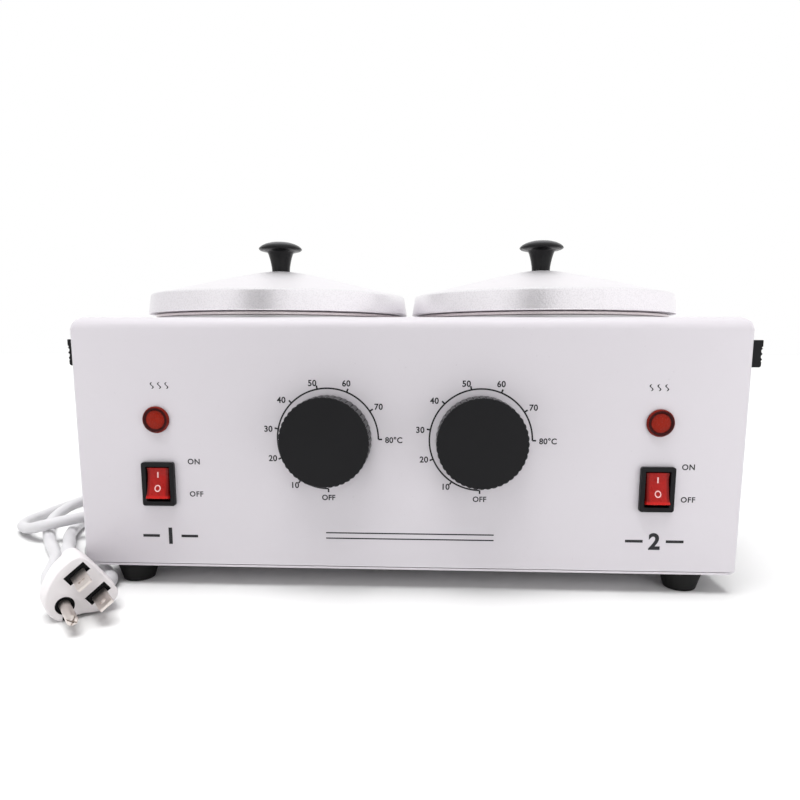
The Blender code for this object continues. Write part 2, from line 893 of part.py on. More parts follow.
def make_lids():
    """Spun lids with a hem and a locating skirt, their knobs and the screws that hold them."""
    hole = screw_radius + fit_gap
    shoulder_radius = lid_top_radius - lid_corner_radius
    crown_shares = (0.5,)
    shoulder_z = lid_surface_z(shoulder_radius)
    skirt_inner = lid_bottom_radius - lid_sheet
    hem_z = lid_bottom_z + lid_sheet
    hem_outer = lid_locating_radius
    profile = [
        (hole, lid_apex_z),
        (lid_seat_radius, lid_apex_z),
        *[(share * lid_top_radius, lid_surface_z(share * lid_top_radius)) for share in crown_shares],
        (shoulder_radius, shoulder_z),
        (lid_top_radius - lid_corner_radius / 3, lid_rim_z),
        (lid_top_radius, lid_rim_z - lid_corner_radius / 2),
        (lid_bottom_radius, lid_bottom_z),
        (hem_outer, lid_bottom_z),
        (hem_outer, lid_bottom_z - lid_locating_depth),
        (hem_outer - lid_sheet, lid_bottom_z - lid_locating_depth),
        (hem_outer - lid_sheet, hem_z),
        (skirt_inner, hem_z),
        (lid_top_radius - lid_sheet, lid_rim_z - lid_corner_radius),
        (shoulder_radius - lid_sheet, shoulder_z - lid_sheet),
        *[
            (share * lid_top_radius, lid_surface_z(share * lid_top_radius) - lid_sheet)
            for share in reversed(crown_shares)
        ],
        (lid_seat_radius, lid_apex_z - lid_sheet),
        (hole, lid_apex_z - lid_sheet),
    ]
    knob_bottom_z = lid_apex_z + fit_gap
    knob_shares = (
        (0.0, 1.0),
        (0.42, 0.985),
        (0.78, 0.93),
        (0.96, 0.85),
        (1.0, 0.77),
        (0.93, 0.71),
    )
    neck_shares = ((0.6, 0.66), (0.46, 0.33))
    knob_profile = [
        *[(knob_radius * across, knob_height * up) for across, up in knob_shares],
        *[(knob_radius * across, knob_height * up) for across, up in neck_shares],
        (knob_neck_radius, knob_height * 0.1),
        (knob_base_radius, 0),
        (screw_radius + fit_gap, 0),
        (screw_radius + fit_gap, lid_screw_length),
        (0, lid_screw_length),
    ]
    for side_name, side in sides:
        x = side * well_spacing / 2
        lid = turned(f"{side_name}_lid", profile, large_turn_steps, closed=True)
        place(lid, "spun_aluminium", (x, middle_y, 0))
        knob = turned(f"{side_name}_lid_knob", knob_profile)
        place(knob, "black_plastic", (x, middle_y, knob_bottom_z))
        seat_z = lid_apex_z - lid_sheet - fit_gap
        make_screw(
            f"{side_name}_lid_screw", (x, middle_y, seat_z), facing_down, lid_screw_length
        )


def make_dials():
    """Fluted dials, hollow behind, on the spindles of the thermostats."""
    points_per_flute = 3
    count = dial_flute_count * points_per_flute
    outline = []
    for i in range(count):
        angle = 2 * math.pi * i / count
        dip = dial_flute_depth * (1 - abs(math.cos(angle * dial_flute_count / 2)))
        radius = dial_radius - dip
        outline.append((radius * math.cos(angle), radius * math.sin(angle)))
    thickness = dial_protrusion - dial_panel_gap
    hollow = thickness - dial_face_thickness
    ring = (
        (dial_hub_radius, -thickness / 2 + hollow),
        (dial_hollow_radius, -thickness / 2 + hollow),
        (dial_hollow_radius, -thickness / 2 - cut_overrun),
        (dial_hub_radius, -thickness / 2 - cut_overrun),
    )
    bore_radius = spindle_radius + fit_gap
    for side_name, side in sides:
        x = side * dial_spacing / 2
        dial = as_mesh(flat_piece(f"{side_name}_dial", outline, thickness, dial_edge))
        place(
            dial,
            "black_plastic",
            (x, front_y - dial_panel_gap - thickness / 2, dial_z),
            facing_front,
        )
        combine(
            dial,
            as_mesh(turned(f"{side_name}_dial_hollow", ring, medium_turn_steps, closed=True)),
            "DIFFERENCE",
        )
        bore = bmesh.new()
        bore_length = hollow + cut_overrun
        bore_middle = -thickness / 2 + bore_length / 2 - cut_overrun
        add_cylinder(bore, bore_radius, bore_length, (0, 0, bore_middle))
        cut(dial, bore)
        spindle_front = dial_panel_gap + hollow - fit_gap
        spindle_back = sheet_thickness + spindle_seat_depth
        spindle = (
            (0, spindle_front),
            (spindle_radius, spindle_front),
            (spindle_radius, -spindle_back),
            (0, -spindle_back),
        )
        place(
            turned(f"{side_name}_thermostat_spindle", spindle, hole_segments),
            "zinc_steel",
            (x, front_y, dial_z),
            facing_front,
        )


def make_thermostats():
    """Thermostats screwed to the back of the panel, each with its capillary and bulb."""
    for side_name, side in sides:
        x = side * dial_spacing / 2
        y = inner_front_y + thermostat_depth / 2
        body = rounded_block(
            f"{side_name}_thermostat_body",
            (thermostat_width, thermostat_depth, thermostat_height),
            thermostat_edge,
            axes=(1,),
        )
        place(body, "cream_plastic", (x, y, dial_z))
        cuts = bmesh.new()
        seat_length = spindle_seat_depth + cut_overrun
        add_cylinder(
            cuts,
            spindle_radius + fit_gap,
            seat_length,
            (0, -thermostat_depth / 2 + seat_length / 2 - cut_overrun, 0),
            facing_front,
        )
        for row_name, way in (("outer", side), ("inner", -side)):
            screw_x = way * thermostat_screw_spacing / 2
            add_cylinder(
                cuts,
                screw_radius + fit_gap,
                2 * screw_length,
                (screw_x, -thermostat_depth / 2, 0),
                facing_front,
                small_turn_steps,
            )
            make_screw(
                f"thermostat_screw_{row_name}_{side_name}",
                (x + screw_x, front_y - fit_gap, dial_z),
                facing_front,
            )
        cut(body, cuts)
        back_y = inner_front_y + thermostat_depth + fit_gap
        start_z = dial_z - capillary_drop
        bulb_z = well_bottom_z - fit_gap - bulb_radius
        bulb_y = back_y + 2 * capillary_bend
        path = (
            (x, back_y, start_z),
            (x, back_y + capillary_bend / 2, start_z),
            (x, back_y + capillary_bend, start_z - capillary_bend),
            (x, back_y + capillary_bend, bulb_z + capillary_bend),
            (x, back_y + 1.5 * capillary_bend, bulb_z),
            (x + side * capillary_bend / 2, bulb_y, bulb_z),
            (x + side * capillary_bend, bulb_y + capillary_bend, bulb_z),
            (x + side * capillary_bend, bulb_y + capillary_bend + bulb_length, bulb_z),
        )
        wide = bulb_radius / capillary_radius
        radii = (1, 1, 1, 1, 1, 1, wide, wide)
        bulb = tube(f"{side_name}_sensing_bulb", path, capillary_radius, 1, radii)
        place(bulb, "copper")


def rocker_outline():
    """The rocker's side view at rest, as (depth behind the pivot, height above it)."""
    half = rocker_half_height
    heel_share = 0.2
    keel_share = 0.4
    keel_depth_share = 0.64
    points = (
        (-rocker_end_stand, half),
        (-rocker_middle_stand, 0),
        (-rocker_end_stand, -half),
        (half * heel_share, -half),
        (half * keel_depth_share, -half * keel_share),
        (half * keel_depth_share, half * keel_share),
        (half * heel_share, half),
    )
    cos, sin = math.cos(rocker_tilt), math.sin(rocker_tilt)
    return [(y * cos + z * sin, z * cos - y * sin) for y, z in points]


def make_switches():
    """Rocker switches: a frame clipped in the panel, and a rocker on two pins."""
    for side_name, side in sides:
        x = side * switch_spacing / 2
        frame = rounded_block(
            f"{side_name}_switch_frame",
            (switch_frame_width, switch_frame_stand, switch_frame_height),
            switch_frame_edge,
            axes=(1,),
        )
        centre = Vector((x, front_y - fit_gap - switch_frame_stand / 2, switch_z))
        place(frame, "black_plastic", centre)
        body = bmesh.new()
        body_length = switch_body_depth + switch_frame_stand / 2
        add_block(
            body,
            (switch_body_width, body_length, switch_body_height),
            (0, body_length / 2, 0),
        )
        combine(frame, object_from(f"{side_name}_switch_body", body, False), "UNION")
        cuts = bmesh.new()
        cavity = switch_cavity_depth + cut_overrun
        add_block(
            cuts,
            (switch_cavity_width, cavity, switch_cavity_height),
            (0, cavity / 2 - cut_overrun - switch_frame_stand / 2, 0),
        )
        cut(frame, cuts)
        pivot_y = front_y + rocker_pivot_depth
        pin_holes = bmesh.new()
        add_cylinder(
            pin_holes,
            rocker_pin_hole_radius,
            switch_cavity_width + 2 * rocker_pin_reach,
            (0, pivot_y - centre.y, 0),
            facing_right,
            small_turn_steps,
        )
        cut(frame, pin_holes)
        width = switch_cavity_width - 2 * rocker_side_gap
        rocker = as_mesh(flat_piece(f"{side_name}_rocker", rocker_outline(), width))
        place(rocker, "red_plastic", (x, pivot_y, switch_z), lying_sideways)
        pins = bmesh.new()
        add_cylinder(
            pins, rocker_pin_radius, width + 2 * rocker_pin_reach, (0, 0, 0), upright, small_turn_steps
        )
        combine(rocker, object_from(f"{side_name}_rocker_pins", pins, False), "UNION")


def make_lamps():
    """Round lamps: a red lens in front of the panel and a body behind it."""
    flange = lamp_flange_thickness
    lens_profile = (
        (0, flange + lamp_dome_height),
        (lamp_dome_radius * 0.6, flange + lamp_dome_height * 0.8),
        (lamp_dome_radius, flange),
        (lamp_flange_radius - flange / 2, flange),
        (lamp_flange_radius, flange / 2),
        (lamp_flange_radius, 0),
        (lamp_barrel_radius, 0),
        (lamp_barrel_radius, -lamp_barrel_length),
        (0, -lamp_barrel_length),
    )
    bore = lamp_barrel_radius + fit_gap
    floor = lamp_barrel_length - sheet_thickness
    body_profile = (
        (0, -floor),
        (bore, -floor),
        (bore, 0),
        (lamp_nut_radius, 0),
        (lamp_nut_radius, -lamp_nut_thickness),
        (lamp_body_radius, -lamp_nut_thickness),
        (lamp_body_radius, -lamp_body_length),
        (0, -lamp_body_length),
    )
    for side_name, side in sides:
        x = side * switch_spacing / 2
        lens = turned(f"{side_name}_lamp_lens", lens_profile)
        place(lens, "red_lens", (x, front_y - fit_gap, lamp_z), facing_front)
        body = turned(f"{side_name}_lamp_body", body_profile, hole_segments)
        place(body, "black_plastic", (x, inner_front_y, lamp_z), facing_front)


def make_terminal_block():
    """The block on the tray where the lead's wires end."""
    block = rounded_block(
        "terminal_block", (terminal_width, terminal_depth, terminal_height), terminal_edge
    )
    y = rear_y - tray_inset - terminal_wall_gap - terminal_depth / 2
    z = tray_floor_z + fit_gap + terminal_height / 2
    place(block, "cream_plastic", (cord_exit_x, y, z))


def make_strain_relief():
    """A ribbed, tapered sleeve that grips the rear panel's hole and points backwards."""
    groove = sheet_thickness + 2 * fit_gap
    inner_flange = relief_flange_thickness
    profile = [(0, relief_length), (relief_tip_radius, relief_length)]
    first_rib = relief_flange_thickness * 2
    rib_pitch = (relief_length - first_rib) / (relief_rib_count + 1 / 2)
    for i in reversed(range(relief_rib_count)):
        height = first_rib + (i + 1 / 2) * rib_pitch
        share = height / relief_length
        radius = relief_root_radius + (relief_tip_radius - relief_root_radius) * share
        profile.append((radius + relief_rib_depth / 2, height + rib_pitch / 2))
        profile.append((radius - relief_rib_depth / 2, height))
    profile += [
        (relief_root_radius, relief_flange_thickness),
        (relief_flange_radius, relief_flange_thickness),
        (relief_flange_radius, fit_gap),
        (relief_groove_radius, fit_gap),
        (relief_groove_radius, fit_gap - groove),
        (relief_flange_radius, fit_gap - groove),
        (relief_flange_radius, fit_gap - groove - inner_flange),
        (0, fit_gap - groove - inner_flange),
    ]
    relief = turned("cord_strain_relief", profile, hole_segments)
    place(relief, "white_vinyl", (cord_exit_x, rear_y, cord_exit_z), facing_rear)


def coil_path():
    """The coil's centreline: down and in on the upper layer, under it, and out again."""
    start = rear_y + relief_length + fit_gap
    path = [
        Vector((cord_exit_x, start, cord_exit_z)),
        Vector((cord_exit_x, start + cord_diameter, cord_exit_z)),
    ]
    upper_z = cord_rest_height + coil_layer_step
    steps = round(coil_turns_share * coil_points_per_turn)
    climb_end = coil_layer_turns_share + coil_climb_turns_share
    for i in range(steps + 1):
        turn = i / coil_points_per_turn
        inwards = min(turn, coil_layer_turns_share)
        outwards = max(turn - climb_end, 0)
        radius = coil_radius + coil_pitch * (outwards - inwards)
        lead = smooth_step(turn / coil_lead_turns_share)
        drop = smooth_step((turn - coil_layer_turns_share) / coil_climb_turns_share)
        z = cord_exit_z + (upper_z - cord_exit_z) * lead - coil_layer_step * drop
        angle = 2 * math.pi * turn
        path.append(
            Vector(
                (
                    coil_centre_x + radius * math.cos(angle),
                    coil_centre_y + radius * math.sin(angle),
                    z,
                )
            )
        )
    path.append(path[-1] - Vector((cord_diameter, 0, 0)))
    return path


def least_gap(path, skipped):
    """The least gap of a cord along the path to itself, from points every millimetre or so."""
    fine = smooth_through(path, cord_radius / 4)
    lengths = [0]
    for before, after in zip(fine, fine[1:]):
        lengths.append(lengths[-1] + (after - before).length)
    least = coil_radius
    for i, point in enumerate(fine):
        for j in range(i + 1, len(fine)):
            if lengths[j] - lengths[i] > skipped:
                least = min(least, (fine[j] - point).length - cord_diameter)
    return least


def make_cord():
    """The lead: its coil behind the housing, and the stretch that comes round to the plug."""
    coil = coil_path()
    print(f"least gap in the coil: {1000 * least_gap(coil, 4 * cord_diameter):.2f} mm")
    place(tube("power_cord_coil", coil, cord_radius, 1), "white_vinyl")
    start = coil[-1] - Vector((fit_gap, 0, 0))
    end = plug_matrix() @ Vector((0, 0, -plug_length - fit_gap))
    path = smooth_through((start, *cord_route, end), cord_longest_step)
    print(f"cord points: {len(path)}")
    place(tube("power_cord", path, cord_radius, 2), "white_vinyl")


def plug_matrix():
    """The plug's own frame: X across the blades, Y away from the ground pin, Z the way they point."""
    ahead = Vector((math.sin(plug_heading), -math.cos(plug_heading), 0))
    across = Vector((math.cos(plug_heading), math.sin(plug_heading), 0))
    up = Vector((0, 0, 1))
    x_axis = across * math.cos(plug_roll) - up * math.sin(plug_roll)
    y_axis = across * math.sin(plug_roll) + up * math.cos(plug_roll)
    turn = Matrix((x_axis, y_axis, ahead)).transposed().to_4x4()
    return Matrix.Translation(plug_face_centre) @ turn


def plug_outline():
    """The plug's face, from the middle of its top round to the same point, counter-clockwise."""
    half_shares = (
        (-0.3, 1.0, 0),
        (-0.68, 0.97, 0),
        (-0.9, 0.78, 0),
        (-1.0, 0.35, 0),
        (-1.0, 0, -0.17),
        (-0.82, 0, -0.36),
        (-0.58, 0, -0.56),
        (-0.5, 0, -0.78),
        (-0.34, 0, -0.93),
        (-0.12, 0, -1.0),
    )
    left = [
        (plug_half_width * across, plug_top_height * up + plug_bottom_drop * down)
        for across, up, down in half_shares
    ]
    return left + [(-x, y) for x, y in reversed(left)]


def make_plug():
    """The moulded plug, its two blades and its ground pin, in the plug's own frame."""
    holder = bpy.data.objects.new("plug_frame", None)
    warmer.objects.link(holder)
    holder.matrix_world = plug_matrix()
    outline = [Vector(point) for point in plug_outline()]
    reach = max(point.length for point in outline)

    def section(swell, roundness, radius):
        """The outline grown by swell, and drawn towards a circle as roundness goes to 1."""
        points = []
        for point in outline:
            grown = point * (1 + swell / reach)
            points.append(grown.lerp(point.normalized() * radius, roundness))
        return points

    shoulder_end = plug_full_length + plug_shoulder_length
    stations = (
        (0, -plug_face_inset, 0),
        (plug_face_inset, 0, 0),
        (plug_full_length / 2, plug_swell, 0),
        (plug_full_length, plug_swell, 0),
        (plug_full_length + plug_shoulder_length * 0.3, plug_swell, 0.22),
        (plug_full_length + plug_shoulder_length * 0.65, 0, 0.68),
        (shoulder_end, 0, 1),
    )
    bm = bmesh.new()
    rings = []
    for back, swell, roundness in stations:
        ring = section(swell, roundness, plug_neck_radius)
        rings.append([bm.verts.new((x, y, -back)) for x, y in ring])
    tip = section(0, 1, plug_tip_radius)
    rings.append([bm.verts.new((x, y, -plug_length)) for x, y in tip])
    for ring, after in zip(rings, rings[1:]):
        for i, vert in enumerate(ring):
            j = (i + 1) % len(ring)
            bm.faces.new((vert, ring[j], after[j], after[i]))
    bm.faces.new(rings[0])
    bm.faces.new(rings[-1])
    body = object_from("plug_body", bm)
    place(body, "white_vinyl", parent=holder)
    cuts = bmesh.new()
    recess = plug_recess_depth + cut_overrun
    middle = cut_overrun - recess / 2
    for way in (-1, 1):
        add_block(
            cuts,
            (plug_slot_width, plug_slot_length, recess),
            (way * blade_spacing / 2, 0, middle),
        )
    add_cylinder(cuts, plug_recess_radius, recess, (0, -ground_offset, middle))
    cut(body, cuts)
    root = plug_recess_depth - fit_gap
    for blade_name, way in (("left", -1), ("right", 1)):
        blade = rounded_block(
            f"plug_blade_{blade_name}",
            (blade_thickness, blade_width, blade_length + root),
            pin_tip_edge,
            segments=1,
        )
        place(
            blade,
            "nickel",
            (way * blade_spacing / 2, 0, (blade_length - root) / 2),
            parent=holder,
        )
    pin_profile = [
        *reversed(arc((0, ground_length - ground_radius), ground_radius, 0, 90, 3)),
        (ground_radius, -root),
        (0, -root),
    ]
    pin = turned("plug_ground_pin", pin_profile, small_turn_steps)
    place(pin, "nickel", (0, -ground_offset, 0), parent=holder)


def make_base_screws():
    """The two screws that hold the housing to the tray's rear flange."""
    for side_name, side in sides:
        make_screw(
            f"base_screw_{side_name}",
            (side * base_screw_spacing / 2, rear_y + fit_gap, housing_bottom_z + base_screw_rise),
            facing_rear,
        )


clear_scene()
warmer = new_collection("double_wax_warmer")
cutters = new_collection("cutters", hidden=True)
make_housing()
make_tray()
make_feet()
make_base_screws()
make_handles()
make_wells()
make_pots()
make_lids()
make_dials()
make_thermostats()
make_switches()
make_lamps()
make_terminal_block()
make_strain_relief()
make_cord()
make_plug()
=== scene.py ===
"""Double wax warmer: the finish of its pieces, built round its packed frame.

The file is laid out as an add-on. Run as a script, it builds every piece and the stage.
Metres, +Z up, +X to the right, and the front panel faces -Y.
"""

import math

import bmesh
import bpy
from mathutils import Euler, Matrix, Vector


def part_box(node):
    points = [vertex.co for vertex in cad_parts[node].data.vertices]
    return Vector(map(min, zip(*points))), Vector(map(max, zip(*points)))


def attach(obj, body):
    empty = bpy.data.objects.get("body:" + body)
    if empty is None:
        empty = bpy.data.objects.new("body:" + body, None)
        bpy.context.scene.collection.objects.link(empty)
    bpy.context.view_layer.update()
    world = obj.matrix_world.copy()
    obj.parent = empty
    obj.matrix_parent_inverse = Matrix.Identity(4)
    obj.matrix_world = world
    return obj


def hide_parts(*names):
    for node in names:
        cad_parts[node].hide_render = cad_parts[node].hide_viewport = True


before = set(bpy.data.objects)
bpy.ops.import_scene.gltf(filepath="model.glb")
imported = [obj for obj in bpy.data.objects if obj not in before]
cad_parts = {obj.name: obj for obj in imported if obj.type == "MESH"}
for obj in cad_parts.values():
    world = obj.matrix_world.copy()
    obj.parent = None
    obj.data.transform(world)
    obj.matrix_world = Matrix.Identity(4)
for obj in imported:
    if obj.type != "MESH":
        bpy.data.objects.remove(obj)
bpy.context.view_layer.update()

bl_info = {
    "name": "Double wax warmer",
    "version": (1, 0, 0),
    "blender": (4, 5, 0),
    "location": "3D View > Sidebar > Warmer",
    "description": "Builds the pieces of a double wax warmer round its packed frame",
    "category": "Add Mesh",
}

# Places that the frame gives
sides = (("left", -1), ("right", 1))
side_names = ("left", "right")
housing_low, housing_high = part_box("housing_shell")
front_y = housing_low.y
rear_y = housing_high.y
middle_y = (front_y + rear_y) / 2
fit_gap = 0.0003

# Turns that bring a piece's own +Z to face another way
upright = (0, 0, 0)
facing_front = (math.pi / 2, 0, 0)
facing_rear = (-math.pi / 2, 0, 0)
facing_right = (0, math.pi / 2, 0)

# Sizes that several pieces share
screw_hole = 0.0019
blade_offset = 0.00635
pin_drop = 0.0119
cut_overrun = 0.002
same_place = 0.0000005
flat_angle = 35
panel_turn = Matrix(((1, 0, 0), (0, 0, -1), (0, 1, 0))).to_4x4()


def length(name, description, default):
    """A property that holds a length in metres."""
    return bpy.props.FloatProperty(
        name=name, description=description, default=default, min=0, precision=5, unit="LENGTH"
    )


def count(name, description, default):
    """A property that holds a number of like pieces."""
    return bpy.props.IntProperty(name=name, description=description, default=default, min=1)


def colour(name, description, default):
    """A property that holds a colour, as linear red, green and blue."""
    return bpy.props.FloatVectorProperty(
        name=name, description=description, default=default, size=3, min=0, max=1, subtype="COLOR"
    )


def share(name, description, default, most=1):
    """A property that holds a plain number."""
    return bpy.props.FloatProperty(name=name, description=description, default=default, min=0, max=most)


class WarmerHousingSizes(bpy.types.PropertyGroup):
    """Sizes of the housing and of what is fixed to it"""

    sheet: length("Sheet", "Thickness of the folded sheet", 0.001)
    fold: length("Fold", "Outer radius of the folds round the top", 0.0054)
    corner: length("Corner", "Outer radius of the upright folds", 0.0016)
    fold_steps: count("Fold steps", "Strips round each fold", 8)
    foot_edge: length("Foot edge", "Rounding of a foot's edges", 0.0009)
    tooth: length("Handle tooth", "Depth between the teeth along a handle", 0.0007)
    handle_bar: length("Handle bar", "Thickness of the bar outside the finger gap", 0.0085)
    handle_leg: length("Handle leg", "Length of each leg along the handle", 0.012)
    handle_corner: length("Handle corner", "Rounding inside the finger gap", 0.004)
    handle_edge: length("Handle edge", "Rounding of a handle's edges", 0.0002)


class WarmerPotSizes(bpy.types.PropertyGroup):
    """Sizes of the wells, pots and lids"""

    well: length("Well", "Outer radius of a heated well", 0.06)
    well_wall: length("Well wall", "Wall of a heated well", 0.001)
    pot: length("Pot", "Outer radius of a wax pot", 0.0582)
    pot_wall: length("Pot wall", "Wall of a wax pot", 0.0012)
    pot_corner: length("Pot corner", "Rounding at the bottom of a pot", 0.006)
    lid_corner: length("Lid shoulder", "Rounding between a lid's skirt and its top", 0.0015)
    lid_sheet: length("Lid sheet", "Thickness of a lid", 0.001)
    lid_seat: length("Lid seat", "Radius of the flat under the knob", 0.0075)
    turn_steps: count("Turn steps", "Facets round a large turned piece", 128)


class WarmerControlSizes(bpy.types.PropertyGroup):
    """Sizes of the dials, switches, lamps and printed marks"""

    dial_ribs: count("Dial ribs", "Ribs round each dial", 44)
    dial_rib: length("Dial rib", "Radius of a rib", 0.0022)
    dial_rib_stand: length("Dial rib stand", "How far a rib stands out of the dial", 0.00024)
    scale_radius: length("Scale radius", "Radius of the line round a dial", 0.0232)
    scale_line: length("Scale line", "Width of the line round a dial", 0.00075)
    tick_length: length("Tick length", "Length of each tick", 0.0017)
    tick_width: length("Tick width", "Width of each tick", 0.00075)
    number_height: length("Number height", "Height of the numbers on the scale", 0.0029)
    ink: length("Ink", "Thickness of the printed marks", 0.00004)
    frame_edge: length("Switch frame edge", "Rounding of the switch frame", 0.0004)
    rocker_front: length("Rocker front", "Width of the front face of a rocker", 0.0098)
    lamp_disc: length("Lamp disc", "Radius of a lamp's front disc", 0.0042)


class WarmerCordSizes(bpy.types.PropertyGroup):
    """Sizes of the mains lead"""

    diameter: length("Diameter", "Diameter of the mains lead", 0.0065)
    real_length: length("Length", "Length of the mains lead", 1.65)
    point_step: length("Point step", "Longest step along the lead's centreline", 0.0022)
    blade_hole: length("Blade hole", "Radius of the hole in each blade", 0.0015)


class WarmerColours(bpy.types.PropertyGroup):
    """Colours of the finishes"""

    paint: colour("Paint", "Satin paint of the housing", (0.605, 0.577, 0.612))
    aluminium: colour("Aluminium", "Spun aluminium of the lids", (0.975, 0.955, 0.98))
    # The pots' pinkish tint is a painted reflection
    pot: colour("Pot aluminium", "Drawn aluminium of the wax pots", (0.74, 0.68, 0.68))
    dull: colour("Dull aluminium", "Plain aluminium of the wells", (0.68, 0.68, 0.68))
    black: colour("Black plastic", "Dials, handles, knobs and switch frames", (0.010, 0.010, 0.011))
    rubber: colour("Rubber", "Feet", (0.009, 0.009, 0.009))
    red: colour("Red plastic", "Rockers", (0.33, 0.008, 0.006))
    lens: colour("Lamp lens", "Front disc of the lamps", (0.50, 0.024, 0.007))
    lens_rim: colour("Lamp rim", "Sloping ring of the lamps", (0.030, 0.002, 0.002))
    # The lead and the plug are of one white vinyl. Their colours are lit and shaded copies: the lead is
    # painted darker for the strong light on its top, and the plug painted lighter for its face, which
    # takes less light.
    vinyl: colour("White vinyl", "Lead and strain relief", (0.60, 0.592, 0.608))
    plug: colour("Plug", "Moulding of the plug", (0.75, 0.715, 0.725))
    pale: colour("Pale marks", "Marks on the rockers", (0.80, 0.52, 0.52))
    ink: colour("Ink", "Printed marks on the panel", (0.022, 0.022, 0.024))
    nickel: colour("Nickel", "Blades and ground pin of the plug", (0.74, 0.68, 0.64))
    zinc: colour("Zinc", "Screws and spindles", (0.60, 0.60, 0.58))
    copper: colour("Copper", "Sensing bulbs", (0.72, 0.42, 0.28))
    mica: colour("Mica", "Heater bands", (0.45, 0.36, 0.25))
    cream: colour("Cream moulding", "Thermostats and terminal block", (0.75, 0.72, 0.62))


class WarmerStage(bpy.types.PropertyGroup):
    """The floor and the light"""

    sky: share("Sky", "Strength of the surrounding light on the warmer", 0.40, 4)
    key: share("Key light", "Strength of the soft light from above", 3.3, 20)
    fill: share("Fill light", "Strength of the soft light from the front", 0.5, 20)
    side: share("Side light", "Power of the small lights beside the front panel", 0.12, 20)
    floor: colour("Floor", "Colour of the floor", (0.75, 0.75, 0.75))


class Channel:
    """A value in a material. Arithmetic on it adds Math nodes."""

    def __init__(self, finish, socket):
        self.finish = finish
        self.socket = socket

    def __add__(self, other):
        return self.finish.maths("ADD", self, other)

    def __radd__(self, other):
        return self.finish.maths("ADD", other, self)

    def __sub__(self, other):
        return self.finish.maths("SUBTRACT", self, other)

    def __rsub__(self, other):
        return self.finish.maths("SUBTRACT", other, self)

    def __mul__(self, other):
        return self.finish.maths("MULTIPLY", self, other)

    def __rmul__(self, other):
        return self.finish.maths("MULTIPLY", other, self)


class Finish:
    """A material under construction."""

    def __init__(self, name):
        self.material = bpy.data.materials.new(name)
        self.material.use_nodes = True
        self.tree = self.material.node_tree
        self.tree.nodes.clear()

    def node(self, kind, settings=None, inputs=None, output=0):
        """Adds any node: its settings first, then the values or links of its sockets."""
        made = self.tree.nodes.new("ShaderNode" + kind)
        for key, value in (settings or {}).items():
            if key == "stops":
                self.set_stops(made.color_ramp, value)
            else:
                setattr(made, key, value)
        for key, value in (inputs or {}).items():
            self.feed(made.inputs[key], value)
        return Channel(self, made.outputs[output])

    def set_stops(self, ramp, stops):
        while len(ramp.elements) < len(stops):
            ramp.elements.new(1)
        for element, (position, stop_colour) in zip(ramp.elements, stops):
            element.position = position
            element.color = (*stop_colour, 1)

    def feed(self, socket, value):
        if isinstance(value, Channel):
            self.tree.links.new(value.socket, socket)
        elif socket.type == "RGBA" and len(value) == 3:
            socket.default_value = (*value, 1)
        else:
            socket.default_value = value

    def maths(self, operation, first, second):
        return self.node("Math", {"operation": operation}, {0: first, 1: second})

    def place(self, centre=(0, 0, 0), scale=(1, 1, 1)):
        """Object coordinates about a centre."""
        coordinates = self.node("TexCoord", output="Object")
        return self.node(
            "Mapping",
            {"vector_type": "POINT"},
            {
                "Vector": coordinates,
                "Location": [-c * s for c, s in zip(centre, scale)],
                "Scale": scale,
            },
        )

    def noise(self, vector, scale, detail=2, roughness=0.5):
        return self.node(
            "TexNoise",
            {"noise_dimensions": "3D"},
            {"Vector": vector, "Scale": scale, "Detail": detail, "Roughness": roughness},
        )

    def mix(self, factor, first, second):
        """A colour between two, by a factor."""
        return self.node("Mix", {"data_type": "RGBA"}, {0: factor, 6: first, 7: second}, output=2)

    def ramp(self, factor, *stops):
        return self.node("ValToRGB", {"stops": stops}, {"Fac": factor})

    def bump(self, height, distance):
        return self.node("Bump", None, {"Height": height, "Distance": distance})

    def smooth(self, value, start, end):
        """A soft step from 0 to 1 while the value goes from start to end."""
        limits = {"Value": value, "From Min": start, "From Max": end}
        return self.node("MapRange", {"interpolation_type": "SMOOTHSTEP"}, limits)

    def along(self, vector, axis):
        """One coordinate of a vector."""
        return self.node("SeparateXYZ", None, {"Vector": vector}, output=axis)

    def size_of(self, vector):
        """The length of a vector."""
        return self.node("VectorMath", {"operation": "LENGTH"}, {0: vector}, output="Value")

    def end(self, shader):
        """Ends the material in a shader."""
        output = self.tree.nodes.new("ShaderNodeOutputMaterial")
        self.tree.links.new(shader.socket, output.inputs["Surface"])
        return self.material

    def surface(self, **values):
        """Ends the material in a Principled shader with the given sockets."""
        names = {
            "base": "Base Color",
            "roughness": "Roughness",
            "metallic": "Metallic",
            "normal": "Normal",
            "specular": "Specular IOR Level",
            "coat": "Coat Weight",
            "coat_roughness": "Coat Roughness",
        }
        sockets = {names[key]: value for key, value in values.items()}
        return self.end(self.node("BsdfPrincipled", None, sockets))


def tint(base, factor):
    """A colour made lighter or darker by a factor."""
    return tuple(min(channel * factor, 1) for channel in base)


finishes = {}


def finish(name):
    """The named finish, made on first use."""
    if name not in finishes:
        finishes[name] = finish_makers[name]()
    return finishes[name]


def make_paint():
    """Satin powder coat with a very fine orange peel."""
    base = bpy.context.scene.warmer_colours.paint
    coat = Finish("satin_white_paint")
    place = coat.place()
    cloud = coat.noise(place, 7, 3)
    peel = coat.noise(place, 620, 2, 0.4)
    grain = coat.noise(place, 4200, 1)
    return coat.surface(
        base=coat.mix(cloud, tint(base, 0.985), tint(base, 1.012)),
        roughness=0.25 + 0.10 * peel,
        specular=0.5,
        normal=coat.bump(peel + grain * 0.15, 0.0000045),
    )


